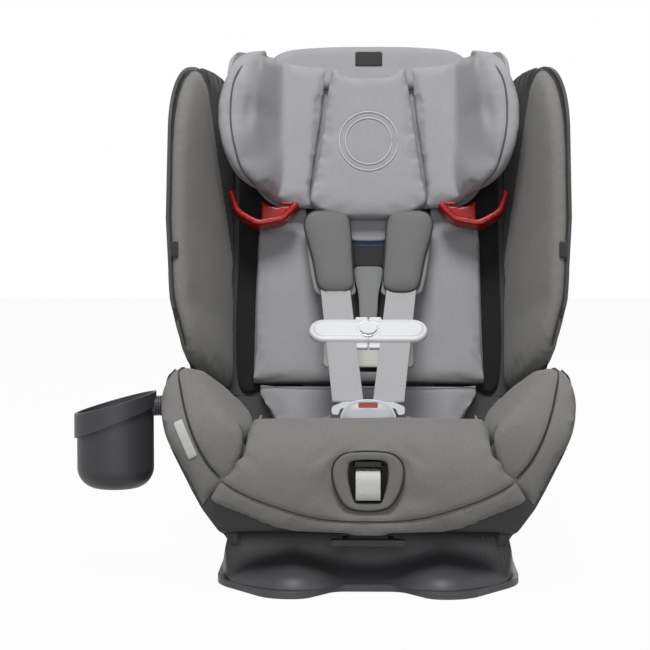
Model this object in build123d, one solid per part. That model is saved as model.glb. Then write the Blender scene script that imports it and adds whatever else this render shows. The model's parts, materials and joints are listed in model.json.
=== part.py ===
"""Convertible car seat: a base, a reclining seat with padded wings and bolsters, a height-adjustable
headrest, a five-point harness and a cup holder.

Millimetres. +X is the right of someone facing the seat, -Y is the front, +Z is up. The origin is on the
floor, under the middle of the base. Each piece is written to parts/NAME.step.
"""

from build123d import *
import os
from math import asin, atan2, cos, degrees, hypot, radians, sin, sqrt

# ---------------------------------------------------------------- driving dimensions
WALL = 4.0                 # moulded plastic shells
FABRIC = 4.0               # one layer of padded cover fabric
RUNNING_GAP = 0.5          # between pieces that slide on each other

# Base
BASE_WIDTH = 354.0
BASE_TOE_Y = -230.0        # front of the two toes
BASE_REAR_Y = 205.0
TOE_SETBACK = 46.0         # the front edge between the toes stands this far back
TOE_INNER_X = 38.0
TOE_TOP = 44.0             # height of the toes where they meet the cradle
CRADLE_FRONT_Y = -150.0
PLATE_THICKNESS = 8.0
CRADLE_TOP = 128.0

# Recline: the seat turns about a line across the seat, above the pan
RECLINE_Y = -30.0
RECLINE_Z = 402.0
TRACK_RADIUS = 348.0       # running surface of the tracks
TRACK_FLOOR = 4.0
TRACK_X = 105.0
RUNNER_WIDTH = 24.0
RUNNER_DEPTH = 9.0
NECK_WIDTH = 12.0
LIP = 3.0
RACK_WIDTH = 16.0
RACK_DEPTH = 14.0
RACK_PITCH = 2.5           # degrees between notches

# Seat shell
SEAT_WIDTH = 482.0         # over the padded bolsters
SEAT_FRONT_Y = -203.0      # front wall of the plastic shell
SHELL_FLOOR_WIDTH = 316.0  # across the bottom of the shell
BOLSTER_TOP = 254.0
PAN_FRONT_Z = 160.0
PAN_REAR_Z = 126.0
SKIRT_GAP = 5.0            # between the shell's skirt and the base's cradle

# Back
BIGHT_Y = 118.0            # where the seat meets the back, on the shell's inner face
BIGHT_Z = 130.0
BACK_LEAN = 16.0           # degrees from the vertical
BACK_WIDTH = 390.0         # across the rear corners of the shell
WING_WIDTH = 504.0         # over the padded wings at their front edge
WING_LOW_WIDTH = 452.0     # the same at their lower end, beside the bolsters
WING_MID_WIDTH = 490.0
WING_MID_H = 150.0         # where the wings are WING_MID_WIDTH wide
WING_FULL_H = 250.0        # the wings are at their full width above this height
WING_DEPTH = 200.0         # wings forward of the back plate
BACK_HEIGHT = 482.0
BACK_START = 66.0          # height along the back where the back shell joins the seat shell
WING_FOAM = 16.0
SLOT_HALF = 80.0           # half width of the slot for the headrest carrier and the straps
SLOT_LOW = 258.0
SLOT_HIGH = 466.0

# Liner
LINER_WIDTH = 302.0
LINER_THICK = 25.0
LINER_LOW = 78.0           # seam between the back liner and the seat liner, along the back
LINER_HIGH = 322.0
LINER_SLOT = 26.0          # half width of the slot behind the harness

# Headrest, in the back's own frame
HEAD_WIDTH = 372.0
HEAD_LOW = 290.0
HEAD_HIGH = 507.0
HEAD_BACK = -27.0          # rear face of the headrest shell
HEAD_DEPTH = 152.0         # front edge of the headrest, forward of the back plate
HEAD_PANEL_HALF = 76.0     # half width of the centre pad
HEAD_PAD = 28.0
HEAD_SIDE_PAD = 22.0
ROD_X = 100.0
ROD_RADIUS = 5.0
ROD_DEPTH = 22.0           # rods behind the back plate
ROD_CLEARANCE = 0.05
REAR_COVER_DEPTH = 40.0
BAR_H = 250.0              # cross bar that carries the headrest on its rods
ROD_BLOCK_LOW = 188.0
ROD_BLOCK_HIGH = 446.0
NECK_HEIGHT = 28.0
SPLITTER_H = 145.0

# Harness
WEBBING = 38.0
WEB_THICK = 1.6
TONGUE_Y = -38.0
TONGUE_Z = 212.0
STRAP_RUN = 175.0          # from the tongues to the shoulder pads
STRAP_RISE = 40.5          # degrees above the horizontal
BUCKLE_Y = -54.0           # mouth of the buckle
BUCKLE_Z = 196.0
TONGUE_X = 25.5            # strap centre lines, from the middle, at each level
PAD_LOW_X = 41.0
PAD_HIGH_X = 53.0
CLIP_ALONG = 109.0         # chest clip, along the strap from the tongue
CLIP_WIDTH = 148.0
CLIP_HEIGHT = 38.0
CLIP_THICK = 14.0
CLIP_DOWN = 45.0
CLIP_BUTTON_RADIUS = 11.0
CLIP_PRESS = 2.0
PAD_WIDTH = 54.0
PAD_THICK = 18.0
PAD_LENGTH = 112.0
SHOULDER_H = 282.0         # where the straps go through the back
BUCKLE_WIDTH = 70.0
BUCKLE_THICK = 26.0
BUCKLE_HEIGHT = 46.0
BUCKLE_DOME = 10.0         # the front cover stands this far above the tongues' mouth
BUCKLE_LEAN = 12.0
STRAP_START = -12.0        # the shoulder straps end this far along their line, in the tongues
CROTCH_Y = -64.0

# Harness adjuster in the front of the seat
ADJUSTER_Z = 131.0
ADJUSTER_WIDTH = 80.0
ADJUSTER_HEIGHT = 66.0
ADJUSTER_HOLE_W = 44.0
ADJUSTER_HOLE_H = 49.0
ADJUSTER_WEB = 28.0
ADJUSTER_DEPTH = 30.0
LEVER_PIN_RADIUS = 2.0

# Cup holder
CUP_Y = -90.0
CUP_STEM = 9.0             # from the cup to the collar on its pivot
CUP_COLLAR = 6.5           # the collar stands this far off the bush
CUP_RADIUS = 45.5
CUP_FLOOR_Z = 106.0
CUP_RIM_Z = 208.0
CUP_WALL = 2.6
CUP_PIVOT_Z = 204.0
CUP_RIM_TILT = 15.5        # degrees, high side towards the seat
CUP_BAND_TILT = 21.6
CUP_PIVOT_RADIUS = 6.0

# Recline handle
HANDLE_WIDTH = 84.0
HANDLE_Z = 60.0
HANDLE_PULL = 12.0
LATCH_LIFT = 7.0
LATCH_GUIDE = 42.0
LINK_Z = 90.0

SCREW_RADIUS = 2.5
SCREW_HEAD = 4.5

# ---------------------------------------------------------------- worked-out values
CRADLE_RADIUS = TRACK_RADIUS + TRACK_FLOOR
RUNNER_LOW = TRACK_RADIUS - RUNNING_GAP
RUNNER_TOP = RUNNER_LOW - RUNNER_DEPTH
LIP_LOW = RUNNER_TOP - RUNNING_GAP
LIP_TOP = LIP_LOW - LIP
RIB_RADIUS = LIP_TOP - 9.0          # underside of the shell's ribs, clear of the track lips
SKIRT_RADIUS = CRADLE_RADIUS - SKIRT_GAP
TRACK_HALF = RUNNER_WIDTH / 2 + 1.0 + TRACK_FLOOR
RACK_TOP = CRADLE_RADIUS - RACK_DEPTH
RECLINE_AXIS = Axis((0, RECLINE_Y, RECLINE_Z), (1, 0, 0))
FAR = 700.0                          # past the whole object, for cutting tools
STANDING = (Align.CENTER, Align.CENTER, Align.MIN)

RUN_Y = cos(radians(STRAP_RISE))
RUN_Z = sin(radians(STRAP_RISE))
PAD_LOW = (TONGUE_Y + STRAP_RUN * RUN_Y, TONGUE_Z + STRAP_RUN * RUN_Z)
LEAN_S = sin(radians(BACK_LEAN))
LEAN_C = cos(radians(BACK_LEAN))
BACK = Pos(0, BIGHT_Y, BIGHT_Z) * Rot(-BACK_LEAN, 0, 0)
PLASTIC_HALF = SEAT_WIDTH / 2 - FABRIC
ADJUSTER_Y = SEAT_FRONT_Y - 6
CUP_BUSH_X = -SEAT_WIDTH / 2 + 2
CUP_X = CUP_BUSH_X - CUP_COLLAR - CUP_STEM - CUP_RADIUS


def back_point(d, h):
    """World (y, z) of a point d behind the back plate's inner face and h up the back."""
    return BIGHT_Y + d * LEAN_C + h * LEAN_S, BIGHT_Z - d * LEAN_S + h * LEAN_C


# ---------------------------------------------------------------- drawing helpers
def plate(*corners):
    """A flat face; each corner is (u, v) or (u, v, rounding)."""
    points = [(c[0], c[1]) for c in corners]
    rounding = [c[2] if len(c) > 2 else 0 for c in corners]
    return make_face(FilletPolyline(*points, radius=rounding, close=True).edges())


def mirrored(*corners):
    """A face from its right half, listed from bottom to top, mirrored about u = 0."""
    return plate(*corners, *[(-c[0], *c[1:]) for c in reversed(corners)])


def sideways(face, half):
    """Extrude a (y, z) face across the object, from -half to half."""
    return extrude(Plane.YZ * face, half, both=True)


def sideways_from(face, x0, x1):
    return extrude(Plane.YZ.offset(x0) * face, x1 - x0)


def lengthways(face, y0, y1):
    """Extrude an (x, z) face from y0 to y1."""
    return extrude(Plane.XZ.offset(-y1) * face, y1 - y0)


def upwards(face, z0, z1):
    return extrude(Plane.XY.offset(z0) * face, z1 - z0)


def recline_drum(radius):
    """Everything within a radius of the recline axis."""
    return Pos(0, RECLINE_Y, RECLINE_Z) * Rot(0, 90, 0) * Cylinder(radius, 2 * FAR)


def arc_piece(section, start, end):
    """Sweep an (x, z) section round the recline axis, in degrees behind straight down."""
    turned = (Plane.XZ.offset(-RECLINE_Y) * section).rotate(RECLINE_AXIS, start)
    return revolve(turned, RECLINE_AXIS, end - start)


def strip(points, thick, radii):
    """A (u, v) face of even thickness along a line of points, with rounded turns."""
    left, right, left_r, right_r = [], [], [], []
    last = len(points) - 1
    for i, (u, v) in enumerate(points):
        before = points[max(i - 1, 0)]
        after = points[min(i + 1, last)]
        a = atan2(v - before[1], u - before[0]) if i else atan2(after[1] - v, after[0] - u)
        b = atan2(after[1] - v, after[0] - u) if i < last else a
        turn = (b - a + radians(180)) % radians(360) - radians(180)
        middle = a + turn / 2 + radians(90)
        reach = thick / 2 / cos(turn / 2)
        radius = radii[i - 1] if 0 < i < last else 0
        inner = max(radius - thick / 2, 0)
        outer = radius + thick / 2 if radius else 0
        left.append((u + reach * cos(middle), v + reach * sin(middle)))
        right.append((u - reach * cos(middle), v - reach * sin(middle)))
        left_r.append(inner if turn > 0 else outer)
        right_r.append(outer if turn > 0 else inner)
    corners = [(*p, r) for p, r in zip(left, left_r)]
    corners += [(*p, r) for p, r in zip(reversed(right), reversed(right_r))]
    return plate(*corners)


def flip(shape):
    """The same piece on the other side."""
    return mirror(shape, about=Plane.YZ)


def rounded(shape, axis, radius):
    """Round the edges that run along an axis."""
    return fillet(shape.edges().filter_by(axis), radius)


PARTS = {}


def keep(name, shape):
    PARTS[name] = shape
    return shape


# ---------------------------------------------------------------- base
def base_outline(inset):
    half = BASE_WIDTH / 2
    face = mirrored(
        (TOE_INNER_X, BASE_TOE_Y + TOE_SETBACK, 25),
        (TOE_INNER_X + 34, BASE_TOE_Y, 28),
        (TOE_INNER_X + 74, BASE_TOE_Y, 45),
        (half, BASE_TOE_Y + 90, 80),
        (half, BASE_REAR_Y - 105, 60),
        (half - 27, BASE_REAR_Y, 40),
    )
    return offset(face, -inset) if inset else face


def base_side(inset):
    low = PLATE_THICKNESS - 1 if inset else PLATE_THICKNESS
    return plate(
        (BASE_TOE_Y + 3 + inset, low),
        (BASE_TOE_Y + 3 + inset, PLATE_THICKNESS + 2, 2),
        (CRADLE_FRONT_Y, TOE_TOP - inset),
        (CRADLE_FRONT_Y + inset, CRADLE_TOP - inset),
        (BASE_REAR_Y - 10 - inset, CRADLE_TOP - inset, 6),
        (BASE_REAR_Y - 4 - inset, low),
    )


def base_dip(grow):
    """The lowered front edge between the toes."""
    face = mirrored(
        (TOE_INNER_X + 6 + grow / 2, PLATE_THICKNESS + 15 - grow, 20),
        (TOE_INNER_X + 42 + grow, TOE_TOP + 1 - grow, 12),
        (TOE_INNER_X + 44 + grow, TOE_TOP + 60),
    )
    return lengthways(face, BASE_TOE_Y - 20, CRADLE_FRONT_Y + grow / 2)


def foot_pads(grow):
    pads = []
    for x in (-1, 1):
        for y, size in ((BASE_TOE_Y + 50, 40), (BASE_REAR_Y - 45, 46)):
            pad = Box(size + grow, 24 + grow, 2.5 + grow, align=STANDING)
            pads.append(Pos(x * 108, y, -grow) * rounded(pad, Axis.Z, 6))
    return Part() + pads


def make_base():
    plate_solid = upwards(base_outline(0), 0, PLATE_THICKNESS)
    plate_solid = plate_solid - foot_pads(0)
    screws = [(x, y) for x in (-1, 1) for y in (BASE_TOE_Y + 88, BASE_REAR_Y - 75)]
    bosses = []
    for x, y in screws:
        place = Pos(x * (BASE_WIDTH / 2 - 30), y, 0)
        plate_solid -= place * Cylinder(SCREW_RADIUS + 0.2, 40)
        plate_solid -= place * Cylinder(SCREW_HEAD + 0.4, 2 * 3.2)
        bosses.append(place)
    keep("base_plate", plate_solid)
    keep("foot_pads", foot_pads(0))

    body = upwards(base_outline(5), PLATE_THICKNESS, CRADLE_TOP) & sideways(base_side(0), FAR)
    body = body - recline_drum(CRADLE_RADIUS) - base_dip(0)
    hollow = upwards(base_outline(5 + WALL), PLATE_THICKNESS - 1, CRADLE_TOP)
    hollow = hollow & sideways(base_side(WALL), FAR)
    hollow = hollow - recline_drum(CRADLE_RADIUS + WALL) - base_dip(WALL)
    for x in (-1, 1):
        hollow -= Pos(x * TRACK_X, 0, 100) * Box(8, 2 * FAR, 260)
    hollow -= Pos(0, 20, 100) * Box(2 * FAR, WALL, 260)
    body -= hollow
    for place in bosses:
        boss = Cylinder(6, 14, align=STANDING)
        web = Box(80, 3, 14, align=STANDING)
        web = place * Pos(0, 0, PLATE_THICKNESS) * web
        inboard = Box(2 * abs(place.position.X), 2 * FAR, 200)
        body += (web - inboard) & upwards(base_outline(5 + WALL / 2), 0, 60)
        body += place * Pos(0, 0, PLATE_THICKNESS) * boss
    for place in bosses:
        body -= place * Pos(0, 0, PLATE_THICKNESS + 4) * Cylinder(SCREW_RADIUS, 16)
    keep("base_shell", body)

    screw_solids = []
    for place in bosses:
        screw = place * Pos(0, 0, 0.8) * Cylinder(SCREW_HEAD, 2.4, align=STANDING)
        screw += place * Pos(0, 0, 2) * Cylinder(SCREW_RADIUS - 0.1, 15, align=STANDING)
        screw -= place * Pos(0, 0, 0.8) * Box(1.2, 6, 2)
        screw_solids.append(screw)
    keep("base_screws", Part() + screw_solids)


def track_ends():
    """Front and rear ends of the tracks, in degrees behind straight down."""
    front = degrees(asin((CRADLE_FRONT_Y + 2 - RECLINE_Y) / CRADLE_RADIUS))
    rear = degrees(asin((BASE_REAR_Y - 14 - RECLINE_Y) / CRADLE_RADIUS))
    height = RECLINE_Z - CRADLE_TOP
    rear = min(rear, degrees(asin(sqrt(CRADLE_RADIUS**2 - height**2) / CRADLE_RADIUS)))
    return front, rear


def rail_box(half, low, high):
    """A rectangle in a rail's section, between two radii from the recline axis."""
    return Pos(TRACK_X, RECLINE_Z - (low + high) / 2) * Rectangle(2 * half, high - low)


def runner_rail():
    """The T-shaped rail under the seat shell, with a stay that carries its rear end."""
    front, rear = track_ends()
    section = rail_box(RUNNER_WIDTH / 2, RUNNER_TOP, RUNNER_LOW)
    section += rail_box(NECK_WIDTH / 2, RIB_RADIUS - 1, RUNNER_TOP + 1)
    rail = arc_piece(section, front - 2, rear - 1.5)
    stay = rail_box(NECK_WIDTH / 2 - 1, RIB_RADIUS - 20, RIB_RADIUS)
    return rail + arc_piece(stay, 12, rear - 4)


def make_tracks():
    front, rear = track_ends()
    section = rail_box(TRACK_HALF, LIP_TOP, CRADLE_RADIUS)
    section -= rail_box(TRACK_HALF - TRACK_FLOOR, LIP_LOW, TRACK_RADIUS)
    section -= rail_box(NECK_WIDTH / 2 + 1.5, LIP_TOP - 1, LIP_LOW + 1)
    track = arc_piece(section, front, rear - 0.5)
    keep("recline_track_right", track)
    keep("recline_track_left", flip(track))

    section = Pos(0, RECLINE_Z - (RACK_TOP + CRADLE_RADIUS) / 2) * Rectangle(RACK_WIDTH, RACK_DEPTH)
    rack = arc_piece(section, front + 4, 16)
    angle = 0.0
    while angle > front + 6:
        notch = Pos(0, RECLINE_Y, RECLINE_Z - RACK_TOP) * Box(RACK_WIDTH + 2, 7, 14)
        rack -= notch.rotate(RECLINE_AXIS, angle)
        angle -= RACK_PITCH
    keep("recline_rack", rack)


# ---------------------------------------------------------------- seat shell
def shell_front_outline(inset):
    """The shell seen from the front, right half mirrored."""
    half = PLASTIC_HALF - inset
    floor = SHELL_FLOOR_WIDTH / 2 - inset
    return mirrored(
        (floor - 6, 40 + inset),
        (floor + 2, 58 + inset, 20),
        (half - 48, 98 + inset, 60),
        (half - 10, 170, 90),
        (half, 215, 60),
        (half - 3, BOLSTER_TOP - 4 - inset, 16),
        (half - 34, BOLSTER_TOP - inset, 12),
    )


def shell_side_outline():
    front, rear = back_point(-WING_DEPTH - 30, BACK_START), back_point(WALL, BACK_START)
    low = back_point(WALL, -50)
    return plate(
        (SEAT_FRONT_Y + 4, 72, 8),
        (SEAT_FRONT_Y, 120),
        (SEAT_FRONT_Y + 9, 162, 30),
        (SEAT_FRONT_Y + 30, 206, 60),
        (SEAT_FRONT_Y + 80, BOLSTER_TOP - 8, 40),
        (front[0], front[1] + 2),
        front,
        rear,
        low,
        (low[0] - 6, 40),
        (SEAT_FRONT_Y + 24, 40),
        (SEAT_FRONT_Y + 22, 66),
    )


def pan_line(drop):
    """The seat pan's inner face from front to rear, lowered by a drop, as (y, z) points."""
    return [
        (SEAT_FRONT_Y + 34 + drop, PAN_FRONT_Z + 6 - drop, 12),
        (SEAT_FRONT_Y + 80, PAN_FRONT_Z - 16 - drop, 40),
        (BIGHT_Y - 30, PAN_REAR_Z - 2 - drop, 40),
    ]


def make_seat_shell():
    outer = lengthways(shell_front_outline(0), -FAR, FAR) & sideways(shell_side_outline(), FAR)
    keel = recline_drum(SKIRT_RADIUS)
    front_apron = sideways(plate((SEAT_FRONT_Y - 5, 30), (SEAT_FRONT_Y + 23, 30),
                                 (SEAT_FRONT_Y + 23, 130), (SEAT_FRONT_Y - 5, 130)), FAR)
    outer = outer & (keel + front_apron)

    inner_face = mirrored(
        (SHELL_FLOOR_WIDTH / 2 - 16, 80),
        (SHELL_FLOOR_WIDTH / 2 - 10, 128, 20),
        (PLASTIC_HALF - WALL - 14, 172, 40),
        (PLASTIC_HALF - WALL, 212, 50),
        (PLASTIC_HALF - WALL, BOLSTER_TOP + 60),
    )
    top = back_point(0, BACK_START + 120)
    bucket = sideways(plate(*pan_line(0), (*back_point(0, -6), 20), top, (SEAT_FRONT_Y + 34, top[1])), FAR)
    bucket = bucket & lengthways(inner_face, -FAR, FAR)
    thigh_gap = mirrored(
        (SHELL_FLOOR_WIDTH / 2 - 20, PAN_FRONT_Z + 6),
        (SHELL_FLOOR_WIDTH / 2 + 4, PAN_FRONT_Z + 40, 20),
        (SHELL_FLOOR_WIDTH / 2 + 40, BOLSTER_TOP + 40),
    )
    bucket += lengthways(thigh_gap, -FAR, SEAT_FRONT_Y + 60)

    under_side = plate(
        (SEAT_FRONT_Y + WALL + 3, 30),
        (SEAT_FRONT_Y + WALL + 3, 140, 10),
        *pan_line(WALL),
        (back_point(-WALL, -6)[0], back_point(-WALL, -6)[1] - WALL, 12),
        (back_point(-WALL, -60)[0], 30),
    )
    under = sideways(under_side, SHELL_FLOOR_WIDTH / 2 - WALL - 4)
    ribs = Part()
    for x in (-1, 1):
        ribs += Pos(x * TRACK_X, 0, 100) * Box(NECK_WIDTH - 2, 2 * FAR, 300)
    ribs = ribs & sideways(under_side, FAR) & recline_drum(RIB_RADIUS)
    shell = outer - bucket - under + ribs
    for x, wide, radius in ((-TRACK_X, 2 * TRACK_HALF + 4, RIB_RADIUS), (0, RACK_WIDTH + 8, RACK_TOP - 3),
                            (TRACK_X, 2 * TRACK_HALF + 4, RIB_RADIUS)):
        lane = Pos(x, 60, 60) * Box(wide, 420, 120)
        shell -= lane - recline_drum(radius)
    shell = shell + runner_rail() + flip(runner_rail())
    guide = Box(LATCH_GUIDE, 16, 90, align=STANDING)
    guide -= Box(RACK_WIDTH - 1, 7, 200)
    guide -= Pos(0, 0, LINK_Z - RECLINE_Z + RACK_TOP - 22) * Box(60, 7, 40, align=STANDING)
    guide = Pos(0, RECLINE_Y, RECLINE_Z - RACK_TOP + 10) * guide
    shell += guide & (sideways(under_side, FAR))

    for x in (-1, 1):                      # vehicle belt openings through the sides
        opening = sideways_from(plate((40, 170, 14), (40, 206, 14), (104, 206, 14), (104, 170, 14)), 130, 250)
        shell -= opening if x > 0 else flip(opening)
    shell -= Pos(0, CROTCH_Y, PAN_FRONT_Z) * rounded(Box(WEBBING + 6, 9, 120), Axis.Z, 3)
    hole = ADJUSTER_HOLE_W + 4, ADJUSTER_HOLE_H + 4
    shell -= Pos(0, SEAT_FRONT_Y, ADJUSTER_Z) * rounded(Box(hole[0], 60, hole[1]), Axis.Y, 12)
    shell -= sideways(strip(adjuster_line()[2:6], 10, [30, 24]), ADJUSTER_WEB / 2 + 3)
    for x in (-1, 1):                      # lap strap anchor slots
        shell -= Pos(x * (SHELL_FLOOR_WIDTH / 2 - 6), 78, 148) * Box(60, WEBBING + 6, 7)
    shell -= cup_bush(0.25) + cross_cylinder(14, CUP_BUSH_X + 6.2, CUP_BUSH_X + 20)
    for x in (-1, 1):
        for h in (30, 52):
            y, z = back_point(0, h)
            shell -= Pos(x * 120, y, z) * Rot(-BACK_LEAN, 0, 0) * Rot(90, 0, 0) * Cylinder(SCREW_RADIUS, 40)
    keep("seat_shell", shell)
    return shell


# ---------------------------------------------------------------- back shell and wings
def back_section(inset, width=WING_WIDTH):
    """Section across the back, in (x, d): a U that opens forwards, inset from its outer face."""
    corner = BACK_WIDTH / 2
    front = width / 2 - FABRIC
    slope = (front - corner) / WING_DEPTH
    reach = 2 * WING_DEPTH
    face = plate(
        (-corner - slope * reach, -reach),
        (-corner, WALL, 42),
        (corner, WALL, 42),
        (corner + slope * reach, -reach),
    )
    return offset(face, -inset) if inset else face


def wing_side(inset):
    """The wings seen from the side, in (d, h)."""
    return plate(
        (-WING_DEPTH + inset, BACK_START, ),
        (-WING_DEPTH + inset, BACK_HEIGHT - 4 - inset, 115 - inset),
        (20, BACK_HEIGHT - inset),
        (20, BACK_START),
    )


def up_the_back(face, low, high):
    """Extrude an (x, d) face up the back, in the back's own frame."""
    return extrude(Plane.XY.offset(low) * face, high - low)


def wing_block(inset):
    """Everything inside the back's outer face less an inset; the wings draw in towards their lower end."""
    levels = [(BACK_START, WING_LOW_WIDTH), (WING_MID_H, WING_MID_WIDTH), (WING_FULL_H, WING_WIDTH)]
    block = up_the_back(back_section(inset), WING_FULL_H, BACK_HEIGHT + 20)
    for (low, low_width), (high, high_width) in zip(levels, levels[1:]):
        ends = [Plane.XY.offset(low) * back_section(inset, low_width),
                Plane.XY.offset(high) * back_section(inset, high_width)]
        block += loft(ends, ruled=True)
    return block


def make_back():
    low_round = plate((-WING_DEPTH - 20, BACK_START - 1), (-WING_DEPTH + 50, BACK_START - 1),
                      (-WING_DEPTH - 20, BACK_START + 110))
    side = sideways(wing_side(FABRIC), FAR) - sideways(low_round, FAR)
    shell = (wing_block(0) - wing_block(WALL)) & side
    slot = Pos(0, 0, (SLOT_LOW + SLOT_HIGH) / 2) * Box(2 * SLOT_HALF, 60, SLOT_HIGH - SLOT_LOW)
    shell -= rounded(slot, Axis.Y, 10)

    blocks = Part()                        # carry the guide rods
    for x in (-1, 1):
        for h in (ROD_BLOCK_LOW, ROD_BLOCK_HIGH):
            block = Box(20, ROD_DEPTH + 10 - WALL, 16, align=(Align.CENTER, Align.MIN, Align.CENTER))
            blocks += Pos(x * ROD_X, WALL, h) * block
        flange = Box(100, WALL, 54, align=(Align.CENTER, Align.MIN, Align.MIN))
        blocks += Pos(x * 90, WALL, BACK_START - 42) * flange
    shell += blocks
    length = ROD_BLOCK_HIGH - ROD_BLOCK_LOW + 16
    for x in (-1, 1):
        middle = (ROD_BLOCK_LOW + ROD_BLOCK_HIGH) / 2
        shell -= Pos(x * ROD_X, ROD_DEPTH, middle) * Cylinder(ROD_RADIUS, length + 2)
        for h in (30, 52):
            shell -= Pos(x * 120, 0, h) * Rot(90, 0, 0) * Cylinder(SCREW_RADIUS, 40)
    keep("back_shell", BACK * shell)

    rods = Part()
    for x in (-1, 1):
        rods += Pos(x * ROD_X, ROD_DEPTH, (ROD_BLOCK_LOW + ROD_BLOCK_HIGH) / 2) * (
            Cylinder(ROD_RADIUS, length) - Cylinder(ROD_RADIUS - 1.2, length + 2))
    keep("headrest_guide_rods", BACK * rods)

    foam = (wing_block(WALL) - wing_block(WALL + WING_FOAM)) & side
    foam = foam & (Pos(FAR / 2 + 150, -FAR / 2 - 30, 0) * Box(FAR, FAR, 3 * FAR))
    keep("wing_foam_right", BACK * foam)
    keep("wing_foam_left", flip(BACK * foam))

    low_cover = plate((-WING_DEPTH - 20, BACK_START - 1), (-WING_DEPTH + 40, BACK_START - 1),
                      (-WING_DEPTH - 20, BACK_START + 92))
    cover = wing_block(-FABRIC) - wing_block(WALL + WING_FOAM + FABRIC)
    cover = cover & (sideways(wing_side(0), FAR) - sideways(low_cover, FAR))
    cover = cover & (Pos(FAR / 2 + 140, -FAR / 2 - 22, 0) * Box(FAR, FAR, 3 * FAR))
    cover = cover - shell - foam
    keep("wing_cover_right", BACK * cover)
    keep("wing_cover_left", flip(BACK * cover))

    outer = Pos(0, 0, (BACK_START + BACK_HEIGHT) / 2 + 10) * Box(
        2 * ROD_X + 96, 2 * REAR_COVER_DEPTH, BACK_HEIGHT - BACK_START - 60)
    outer = rounded(outer, Axis.Y, 30)
    inner = Pos(0, 0, (BACK_START + BACK_HEIGHT) / 2 + 10) * Box(
        2 * ROD_X + 96 - 2 * WALL, 2 * REAR_COVER_DEPTH - 2 * WALL, BACK_HEIGHT - BACK_START - 60 - 2 * WALL)
    inner = rounded(inner, Axis.Y, 26)
    cut = Pos(0, -FAR / 2 + WALL, 0) * Box(2 * FAR, FAR, 3 * FAR)
    cover_rear = outer - inner - cut
    top_gap = Pos(0, WALL + 10, BACK_HEIGHT - 20) * Box(2 * SLOT_HALF, 20, 40)
    web_gap = Pos(0, 11, BACK_START + 44) * Box(ADJUSTER_WEB + 4, 8, 30)
    keep("rear_cover", BACK * (cover_rear - top_gap - web_gap))


# ---------------------------------------------------------------- soft covers on the seat
def buckle_room():
    """The dip in the seat's covers that the buckle stands in."""
    return tongue_frame() * Pos(0, -2, -BUCKLE_HEIGHT / 2) * Box(
        BUCKLE_WIDTH + 8, BUCKLE_THICK + 14, BUCKLE_HEIGHT + 10)


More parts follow.
